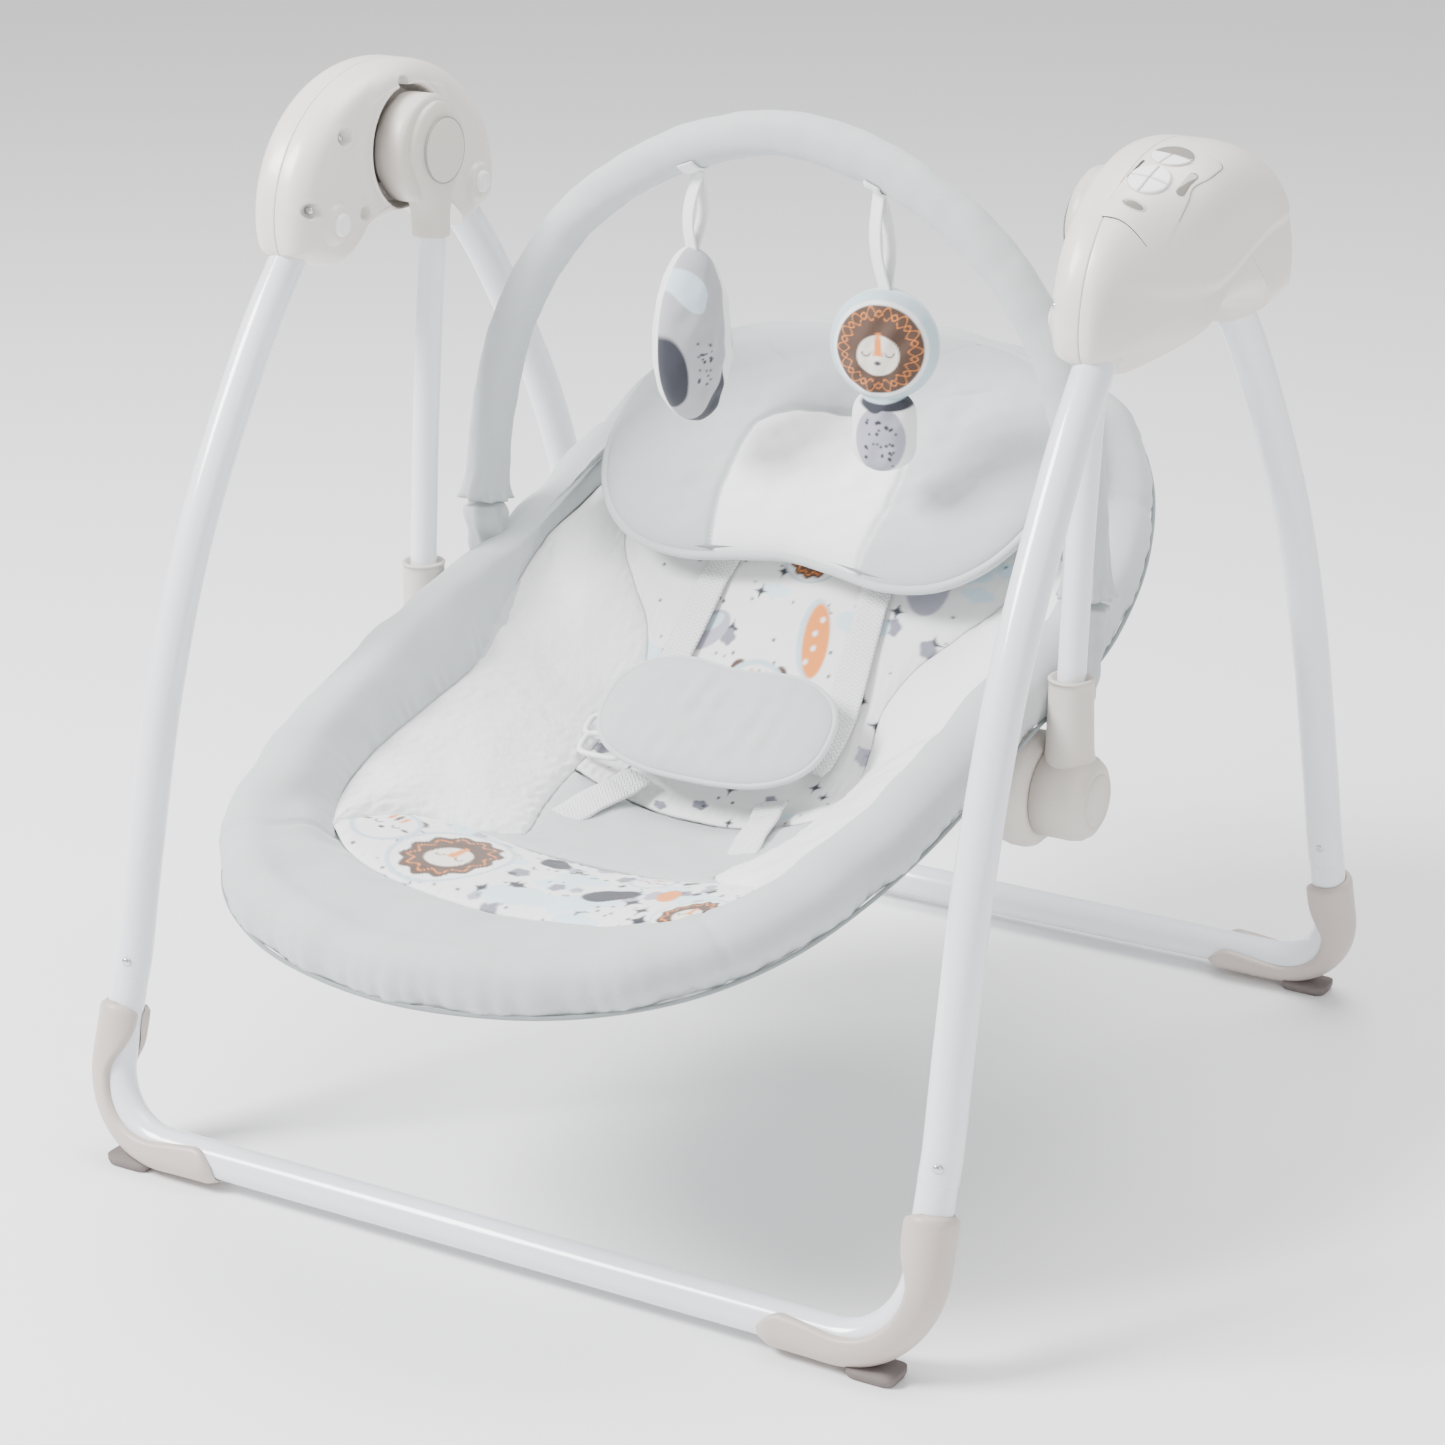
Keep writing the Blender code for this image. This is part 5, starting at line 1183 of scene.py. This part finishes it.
def rim_band():
    """Stuffed grey roll round the seat, its lower piping, and the underside."""
    count, columns = 620, 54
    angle, rim, out, up = rim_frame(count)
    plan = by_angle(spline(loop_of(BAND_SEAM), 900, closed=True), angle)
    first = on_seat(plan, np.full(count, -0.0012))
    along = np.r_[0, np.cumsum(np.linalg.norm(np.diff(rim, axis=0), axis=1))]
    quarter = rim[:, :2] * 0.38 + plan * 0.62
    knots = np.stack([
        first, on_seat(quarter, np.full(count, 0.0085)),
        rim - out * 0.0125 + up * 0.0160, rim + out * 0.0020 + up * 0.0188,
        rim + out * 0.0145 + up * 0.0125, rim + out * 0.0192 + up * 0.0010,
        rim + out * 0.0165 - up * 0.0105], 1)
    rows = np.stack([spline(k, columns) for k in knots])
    v = np.linspace(0, 1, columns)[None]
    s = along[:, None]
    low = np.exp(-(1 - v) / 0.10)
    gathers = 0.0012 * np.sin(s / 0.0021 + 3 * waves(s, 0 * s, 0.05, 2)) * low \
        * smooth(0, 0.03, 1 - v)
    inner = 0.0010 * np.sin(s / 0.0030 + 4 * waves(s, 0 * s, 0.06, 4)) \
        * np.exp(-v / 0.10) * smooth(0, 0.04, v)
    soft = 0.0012 * waves(s + 0 * v, v * 0.06 + 0 * s, 0.055, 6) * smooth(0, 0.2, v)
    seams = np.zeros_like(rows[..., 0])
    for x, y in ((0.150, -0.290), (-0.150, -0.290), (0.176, 0.140), (-0.176, 0.140),
                 (0.100, 0.205), (-0.100, 0.205)):
        at = polar(np.array((x, y)))
        gap = np.abs(np.mod(angle - at + math.pi, 2 * math.pi) - math.pi)[:, None] * 0.24
        seams -= 0.0016 * np.exp(-(gap / 0.0016) ** 2) + 0.0010 * np.exp(-gap / 0.010)
    normal = normals(np.concatenate([rows[-2:], rows, rows[:2]]))[2:-2]
    normal *= np.sign((normal * up[:, None]).sum(2).mean() or 1)
    rows = rows + normal * (gathers + inner + soft + seams)[..., None]
    # underside: round the roll, then across below the padding
    turn = np.radians(np.linspace(-32, -150, 16))
    under = (rim[:, None] + out[:, None] * (0.0178 * np.cos(turn))[None, :, None]
             + up[:, None] * (0.0178 * np.sin(turn))[None, :, None])
    under = under + up[:, None] * (0.0008 * np.sin(along / 0.0024)[:, None]
                                   * np.exp(-np.arange(16) / 4.0))[..., None]
    share = np.linspace(0.93, 0.04, 40)[None, :, None]
    far = (under[:, -1:, :2] - CENTRE) * share + CENTRE
    sag = on_seat(far, np.full(far.shape[:2], -0.0125))
    blend = smooth(0.93, 0.70, share)
    sag = sag * blend + (under[:, -1:] + (sag - sag[:, :1])) * (1 - blend)
    under = np.concatenate([under, sag], 1)
    above = rows.transpose(1, 0, 2)
    below = above - normal.transpose(1, 0, 2) * 0.004
    closed = np.concatenate([above, below[::-1]])
    faces = np.vstack([grid_faces(2 * columns, count, wrap=True),
                       join_rows(2 * columns - 1, 0, count)])
    piece("rim_band", closed.reshape(-1, 3), [faces], "seat", GREY,
                    ("front_rim_pad", "back_rim_pad", "seat_hoop", "backrest_hoop"))
    under = under.transpose(1, 0, 2)
    inside = under + up[None] * 0.0030
    skin = np.concatenate([under[::-1], inside])
    points, faces = capped(skin)
    piece("seat_underside", points, faces, "seat", GREY_LIGHT)
    share = np.linspace(1.03, 0.03, 50)[:, None, None]
    lining = CENTRE + (plan - CENTRE)[None] * share
    lining = on_seat(lining, np.full(lining.shape[:2], -0.0045))
    points, faces = capped(np.concatenate([lining[::-1], lining - (0, 0, 0.002)]))
    piece("seat_lining", points, faces, "seat", GREY_LIGHT)
    piping = rim + out * 0.0172 - up * 0.0112
    points, faces, _ = sweep(piping, 0.0013, 10, closed=True)
    piece("rim_piping", points, faces, "seat", PIPING)


inner_panels()
rim_band()


# ---------------------------------------------------------------- headrest and harness
def pillow(name, centre, size, slope, outline, puff, finish, stands_for, shade=None,
           rings=60, around=220, seed=0, cup=0.0, welt=0.0017):
    """Closed cushion over a plan outline, tilted back by slope degrees.  outline(a)
    gives its radius share per angle; shade(x, y) gives colour and extra lift."""
    a = np.linspace(0, 2 * math.pi, around, endpoint=False)
    edge = outline(a) * (np.array(size[:2]) / 2)
    welt_at = edge * 1.004
    t = np.linspace(0, 1, rings) ** 0.75
    t = t[::-1]
    plan = edge[None] * t[:, None, None]
    height = size[2] / 2 * (1 - t ** puff) ** (1 / 2.0)
    x, y = plan[..., 0], plan[..., 1]
    body = height[:, None] * (1 + 0.05 * waves(x, y, 0.06, seed)) \
        + 0.0007 * waves(x, y, 0.018, seed + 1) * (1 - t[:, None] ** 3)
    colour, lift = shade(x, y) if shade else (None, 0)
    top = np.stack([x, y, body + lift + cup * x ** 2], -1)
    low = np.stack([x, y, -height[:, None] * 0.8 + cup * x ** 2], -1)
    rows = np.concatenate([top[::-1], low[1:]])
    turn = math.radians(slope)
    spin = np.array(((1, 0, 0), (0, math.cos(turn), -math.sin(turn)),
                     (0, math.sin(turn), math.cos(turn))))
    points, faces = capped(rows @ spin.T + np.array(centre))
    if colour is not None:
        colour = np.concatenate([colour[::-1], colour[1:]]).reshape(-1, 3)
        colour = np.vstack([colour, colour[:1], colour[-1:]])
    made = piece(name, points, faces, "seat", finish, stands_for, colour)
    rim = np.c_[welt_at, cup * welt_at[:, 0] ** 2] @ spin.T + np.array(centre)
    points, faces, _ = sweep(rim, welt, 12, closed=True)
    piece(f"{name}_welt", points, faces, "seat", GREY_LIGHT)
    inner = edge * (1 - 0.0042 / np.linalg.norm(edge, axis=1, keepdims=True).mean())
    rim = np.c_[inner, cup * inner[:, 0] ** 2 + size[2] * 0.12] @ spin.T + np.array(centre)
    points, faces, _ = sweep(rim, 0.0009, 8, closed=True)
    piece(f"{name}_stitch_line", points, faces, "seat", PIPING)
    return made


def headrest_outline(a):
    """Wide outline with two fuller lower lobes, from half of its knots."""
    half = [(0, -0.088), (0.030, -0.092), (0.070, -0.099), (0.105, -0.094),
            (0.132, -0.074), (0.148, -0.042), (0.151, -0.005), (0.143, 0.032),
            (0.115, 0.064), (0.070, 0.083), (0, 0.090)]
    loop = spline(loop_of(half), 600, closed=True)
    turn = np.mod(np.arctan2(loop[:, 1], loop[:, 0]), 2 * math.pi)
    order = np.argsort(turn)
    reach = np.interp(a, turn[order], np.linalg.norm(loop, axis=1)[order],
                      period=2 * math.pi)
    return np.stack([np.cos(a), np.sin(a)], 1) * reach[:, None]


def centre_cloth(x, y):
    """Pale plush middle of the headrest with rounded top corners."""
    top = 0.010 - 0.020 * np.abs(x / 0.055) ** 5
    d = np.maximum(np.abs(x) - 0.054 - 0.003 * smooth(0.0, -0.03, y)
                   + 0.006 * smooth(-0.05, -0.1, y), (y - top) * 0.8)
    inside = smooth(0.0007, -0.0007, d)[..., None]
    grey = np.array((0.50, 0.535, 0.545))
    colour = grey * (1 - inside) + np.array((0.90, 0.90, 0.895)) * inside
    rays = 0.0
    for angle, at in ((1.9, 0.02), (0.9, 0.03), (0.35, 0.05), (2.6, 0.04)):
        u = x * math.sin(angle) - (y - 0.008) * math.cos(angle)
        v = x * math.cos(angle) + (y - 0.008) * math.sin(angle)
        rays = rays - 0.0012 * np.exp(-(u / 0.0022) ** 2) * smooth(0.05, 0.07, v) \
            * smooth(0.115 - at * 0.2, 0.085, v)
    return colour, rays - 0.0030 * np.exp(-(d / 0.0018) ** 2) \
        - 0.0020 * np.exp(-np.abs(d) / 0.008)


def kidney(a):
    """Harness pad: wide, rounded, its upper edge dipping in the middle."""
    c, s = np.cos(a), np.sin(a)
    x = np.sign(c) * np.abs(c) ** 0.75
    y = np.sign(s) * np.abs(s) ** 0.80
    y = y - 0.16 * np.exp(-(x / 0.42) ** 2) * (s > 0) * np.abs(s)
    return np.stack([x, y], 1)


def strap(name, plan, lift, width=STRAP_WIDTH, thick=0.0016, stands_for=()):
    """Webbing ribbon that lies along plan points on the seat, arched a little."""
    line = spline(plan, 90)
    path = on_seat(line, np.interp(np.linspace(0, 1, 90), np.linspace(0, 1, len(lift)), lift))
    tangent = unit(np.gradient(path, axis=0))
    up = unit(on_seat(line, np.full(90, 0.01)) - on_seat(line, np.zeros(90)))
    across = unit(np.cross(tangent, up))
    v = np.linspace(-1, 1, 15)
    top = path[:, None] + across[:, None] * (v * width / 2)[None, :, None] \
        + up[:, None] * (0.0006 * (1 - v ** 4))[None, :, None]
    along = np.r_[0, np.cumsum(np.linalg.norm(np.diff(path, axis=0), axis=1))]
    flat = np.stack(np.broadcast_arrays(along[:, None], v[None] * width / 2), -1)
    flat = np.vstack([flat.reshape(-1, 2)] * 2)
    points, faces = shell(top, thick)
    made = piece(name, points, faces, "seat", WEBBING, stands_for, flat=flat)
    return made


def harness():
    """Webbing straps, headrest, harness pad and buckle."""
    for name, side in SIDES:
        strap(f"shoulder_strap_{name}", np.array([(0.047, 0.092), (0.054, 0.062),
              (0.058, 0.035), (0.062, 0.005), (0.058, -0.022)]) * (side, 1),
              (0.010, 0.0065, 0.0065, 0.0075, 0.010),
              stands_for=(f"harness_strap_{name}",))
        strap(f"lap_strap_{name}", np.array([(0.048, -0.050), (0.054, -0.076),
              (0.058, -0.096), (0.061, -0.112)]) * (side, 1), (0.010, 0.0075, 0.0065, 0.002))
    pillow("headrest_cushion", (0, 0.1190, 0.3745), (2, 2, 0.040), 38,
           headrest_outline, 3.0, TOY_PRINT, ("headrest_pillow",),
           centre_cloth, rings=110, around=440, seed=40, cup=0.45, welt=0.0030)
    pillow("chest_pad", (0, -0.0380, 0.2430), (0.152, 0.084, 0.016), 38, kidney, 3.4, GREY,
           ("harness_pad",), seed=50, welt=0.0019)
    grip = np.array([(-0.082, -0.030), (-0.078, -0.047)])
    for k, at in enumerate(grip):
        spot = on_seat(at, np.array(0.0135))
        a = np.linspace(0, 2 * math.pi, 40, endpoint=False)
        ring = np.stack([0.0150 * np.sign(np.cos(a)) * np.abs(np.cos(a)) ** 0.5,
                         0.0070 * np.sign(np.sin(a)) * np.abs(np.sin(a)) ** 0.5], 1)
        path = spot + np.c_[ring, ring[:, 1] * 0.6]
        points, faces, _ = sweep(path, 0.0019, 12, closed=True)
        piece(f"strap_buckle_{k}", points, faces, "seat", KEY,
              ("harness_buckle",) if k == 0 else ())


harness()


# ---------------------------------------------------------------- toy bar and toys
def arch_point(a):
    """Point of the toy bar by angle from its right foot over to its left."""
    c, s = np.cos(a), np.sin(a)
    z = 0.2398 + 0.3380 * np.abs(s) ** 0.527
    x = BAR_HALF_X * np.sign(c) * np.abs(c) ** BAR_ROUND
    return np.stack([x, 0.0276 + 0.0769 * (z - 0.32), z], -1)


def toy_bar():
    """Padded sleeve over the arch, and the covers of its two sockets."""
    a = np.linspace(0, math.pi, 1200)
    whole = arch_point(a)
    line = even(whole[whole[:, 2] > 0.334], 260)

    def gathers(s, around):
        end = np.exp(-s / 0.014) + np.exp(-(line_length - s) / 0.014)
        ends = 0.0020 * end * np.sin(around * 9 + 0.6 * np.sin(s * 300)) + 0.003 * end ** 2
        seam = -0.0010 * np.exp(-((np.mod(around - 1.9, 2 * math.pi) - math.pi) / 0.07) ** 2)
        return ends + seam + 0.00045 * waves(s * 1.0 + 0 * around, around * 0.0135 + 0 * s,
                                             0.03, 9)

    line_length = np.linalg.norm(np.diff(line, axis=0), axis=1).sum()
    points, faces, _ = sweep(line, 0.0134, 72, ripple=gathers)
    piece("toy_bar_sleeve", points, faces, "toy_bar", SLEEVE,
                    ("toy_bar",))
    foot = whole[np.argmax(whole[:, 2] > 0.3278)]
    for name, side in SIDES:
        low, high = np.array((side * 0.1965, 0.029, 0.256)), foot * (side, 1, 1)
        path = even([low, (low + high) / 2 + (side * 0.002, 0, 0), high], 40)

        def folds(s, around):
            return 0.0011 * np.sin(around * 7 + 60 * s) * smooth(0.01, 0.07, s) \
                + 0.0009 * waves(s + 0 * around, around * 0.012 + 0 * s, 0.02, 3)
        points, faces, _ = sweep(path, np.linspace(0.0122, 0.0128, 40), 56, ripple=folds,
                                 edge=0.002)
        piece(f"bar_socket_cover_{name}", points, faces, "seat", SLEEVE,
              (f"toy_bar_mount_{name}",))


def ribbon(name, path, across, width, body):
    """Thin tape along a path."""
    path = even(path, 70)
    v = np.linspace(-0.5, 0.5, 7)
    side = unit(across)
    top = path[:, None] + side * (v * width)[None, :, None]
    n, m = top.shape[:2]
    normal = unit(np.cross(np.gradient(path, axis=0), side))
    low = top - normal[:, None] * 0.0011
    points = np.vstack([top.reshape(-1, 3), low.reshape(-1, 3)])
    index = np.arange(n * m).reshape(n, m)
    rim = np.r_[index[0], index[1:, -1], index[-1, -2::-1], index[-2:0:-1, 0]]
    wall = np.stack([rim, np.roll(rim, -1), np.roll(rim, -1) + n * m, rim + n * m], 1)
    made = piece(name, points, [grid_faces(n, m)[:, ::-1], grid_faces(n, m, start=n * m),
                                wall], body, RIBBON)


def stuffed(name, body, centre, half, turn_deg, paint_on, node):
    """Flat stuffed shape: half = (thickness, width(t), height) with t from -1 to 1."""
    thick, width, tall = half
    t = np.linspace(-1, 1, 220)
    a = np.linspace(0, 2 * math.pi, 200, endpoint=False)
    w = np.maximum(width(t), 1e-4)
    deep = thick * np.clip(w / np.max(w), 0, 1) ** 0.55
    c, s = np.cos(a), np.sin(a)
    x = w[:, None] * np.sign(c) * np.abs(c) ** 0.9
    y = deep[:, None] * s * (1 - 0.25 * np.abs(c) ** 3)
    z = np.broadcast_to((t * tall)[:, None], x.shape)
    y = y * (1 + 0.05 * waves(x, z, 0.02, 4))
    colour = paint_on(x, z, y)
    turn = math.radians(turn_deg)
    c, s = math.cos(turn), math.sin(turn)
    rows = np.stack([x * c - y * s, x * s + y * c, z], -1) + np.array(centre)
    points, faces = capped(rows)
    colour = colour.reshape(-1, 3)
    colour = np.vstack([colour, colour[:1], colour[-1:]])
    piece(name, points, faces, body, TOY_PRINT, (node,), colour)


def paint_left(x, z, y):
    """Grey leaf with navy flames, a pale spot, and a white gusset along one side."""
    ash = np.array((0.40, 0.40, 0.43))
    colour = np.broadcast_to(ash, x.shape + (3,)).copy()
    colour = paint(colour, oval(x, z, (-0.014, 0.030), 0.0080, 0.0130, 0.2), SKY * 1.1)
    colour = paint(colour, oval(x, z, (-0.0260, -0.026), 0.0075, 0.0300, 0.10), INK)
    colour = paint(colour, oval(x, z, (0.0060, -0.038), 0.0085, 0.0260, -0.42), INK)
    colour = speckle(colour, x, z, 3, 20, np.array((-0.014, -0.030)), np.array((-0.004, 0.0)),
                     0.6)
    colour = paint(colour, 0.0075 - x, WHITE)
    colour = paint(colour, -(y - 0.002), WHITE)
    return paint(colour, oval(x, z, (0.0250, -0.020), 0.0055, 0.0240, 0.12), INK)


def paint_right(x, z, y):
    """Round badge over a small patterned body."""
    colour = np.broadcast_to(WHITE, x.shape + (3,)).copy()
    colour = paint(colour, oval(x, z, (0, -0.034), 0.0150, 0.0200), LAVENDER)
    colour = speckle(colour, x, z, 5, 30, np.array((-0.008, -0.050)),
                     np.array((0.010, -0.022)), 0.6)
    colour = paint(colour, oval(x, z, (0, -0.012), 0.0160, 0.0050, 0, 0.2, 3), INK)
    colour = paint(colour, oval(x, z, (0, 0.021), 0.0330, 0.0330), SKY)
    colour = paint(colour, oval(x, z, (0, 0.021), 0.0285, 0.0285), WHITE)
    colour = paint(colour, oval(x, z, (0, 0.021), 0.0262, 0.0262), BROWN)
    for size, turn in ((0.0225, 0.0), (0.0205, 0.22)):
        colour = paint(colour, np.abs(oval(x, z, (0, 0.021), size, size, turn, 0.13, 14))
                       - 0.00035, ORANGE)
    colour = paint(colour, oval(x, z, (0, 0.018), 0.0125, 0.0120), CREAM)
    wedge = np.maximum(np.abs(x) - 0.0022 * (1 - (z - 0.024) * 60), np.abs(z - 0.0245)
                       - 0.0068)
    colour = paint(colour, wedge, ORANGE)
    for way in (-1, 1):
        eye = np.abs(np.hypot(x - way * 0.0070, z - 0.0200) - 0.0026) - 0.0004
        colour = paint(colour, np.maximum(eye, z - 0.0200), INK)
    return paint(colour, oval(x, z, (0, 0.0135), 0.0020, 0.0014), INK)


def toys():
    """Two stuffed toys on ribbons, each hung from a tape round the bar."""
    def leaf(t):
        return 0.0290 * np.clip(1 - np.abs(t) ** 2.3, 0, 1) ** 0.66 * (1 - 0.10 * t)

    def badge(t):
        z = t * 0.054
        head = np.sqrt(np.clip(0.0330 ** 2 - (z - 0.021) ** 2, 0, 1))
        body = 0.0195 * np.clip(1 - ((z + 0.030) / 0.0245) ** 4, 0, 1) ** 0.5
        return np.maximum(head, np.maximum(body, 0.0150 * smooth(-0.054, -0.048, z)
                                           * smooth(0.0, -0.012, z)))

    specs = (("left", -1, 0.451, leaf, 0.0200, 0.053, 80, paint_left),
             ("right", 1, 0.440, badge, 0.0170, 0.054, 14, paint_right))
    for name, side, middle, width, thick, tall, turn, paint_on in specs:
        body = f"toy_{name}"
        hook = np.array(TOY_HOOK) * (side, 1, 1)
        stuffed(f"hanging_toy_{name}", body, (hook[0], hook[1], middle),
                (thick, width, tall), turn, paint_on, body)
        axis = np.array(BAR_RUN) * (1, side, side)
        a = np.radians(np.linspace(215, 325, 40))
        low = np.cross(axis, (0, 1, 0))
        low = unit(-low if low[2] > 0 else low)
        front = np.cross(axis, low)
        loop = hook + (low[None] * -np.sin(a)[:, None] + front * np.cos(a)[:, None]) * 0.0152
        ribbon(f"bar_tape_{name}", loop, axis, 0.0110, body)
        top = middle + tall - 0.004
        bottom_of_bar = hook + low * 0.0150
        drop = bottom_of_bar[2] - top
        t = np.linspace(0, 1, 60)[:, None]
        for k, way in enumerate((-1, 1)):
            path = bottom_of_bar + (0, 0, -drop) * t + np.array((0.35, 0.9, 0)) * way \
                * 0.0055 * np.sin(t * math.pi) ** 1.2
            path[:, 0] += (hook[0] - bottom_of_bar[0]) * t[:, 0]
            path[:, 1] += (hook[1] - bottom_of_bar[1]) * t[:, 0]
            ribbon(f"toy_ribbon_{name}_{k}", path, (0.93, -0.36, 0), 0.0100, body)


toy_bar()
toys()


# ---------------------------------------------------------------- floor, light, camera
def studio():
    """Pale floor, even sky and three area lamps."""
    mesh = bpy.data.meshes.new("studio_floor")
    mesh.from_pydata([(-15, -15, 0), (15, -15, 0), (15, 15, 0), (-15, 15, 0)], [],
                     [(0, 1, 2, 3)])
    floor = bpy.data.objects.new("studio_floor", mesh)
    bpy.context.scene.collection.objects.link(floor)
    floor_finish, _, _ = new_finish("floor_paper", (0.93, 0.93, 0.935), 0.9)
    mesh.materials.append(floor_finish)
    world = bpy.data.worlds.new("studio_world")
    world.use_nodes = True
    shade = world.node_tree.nodes["Background"]
    shade.inputs["Color"].default_value = (1.0, 1.0, 1.0, 1)
    shade.inputs["Strength"].default_value = 0.85
    bpy.context.scene.world = world
    lamps = (("key", (-1.6, -1.6, 2.3), 1.0, 200), ("fill", (2.4, -1.4, 1.2), 1.8, 22),
             ("top", (0.1, 0.6, 2.6), 1.4, 62))
    for name, at, size, power in lamps:
        lamp = bpy.data.lights.new(name, "AREA")
        lamp.shape, lamp.size, lamp.energy = "SQUARE", size, power
        holder = bpy.data.objects.new(f"light_{name}", lamp)
        holder.location = at
        aim = np.array((0, 0, 0.3)) - np.array(at)
        holder.rotation_mode = "QUATERNION"
        holder.rotation_quaternion = Vector(aim).to_track_quat("-Z", "Y")
        bpy.context.scene.collection.objects.link(holder)


def camera():
    """Camera with its own turn, rise and roll."""
    turn, rise, roll = math.radians(31.10), math.radians(19.74), -0.00706
    back = np.array((math.sin(turn) * math.cos(rise), -math.cos(turn) * math.cos(rise),
                     math.sin(rise)))
    right = unit(np.cross((0, 0, 1), back))
    up = np.cross(back, right)
    across = right * math.cos(roll) + up * math.sin(roll)
    over = -right * math.sin(roll) + up * math.cos(roll)
    place = np.array((1.08260, -1.82521, 0.99158)) + SHIFT
    data = bpy.data.cameras.new("camera")
    data.sensor_width, data.lens = 36, 93.56
    data.clip_end = 60
    made = bpy.data.objects.new("camera", data)
    bpy.context.scene.collection.objects.link(made)
    pose = np.eye(4)
    pose[:3, 0], pose[:3, 1], pose[:3, 2], pose[:3, 3] = across, over, back, place
    made.matrix_world = Matrix(pose.tolist())
    bpy.context.scene.camera = made


studio()
camera()
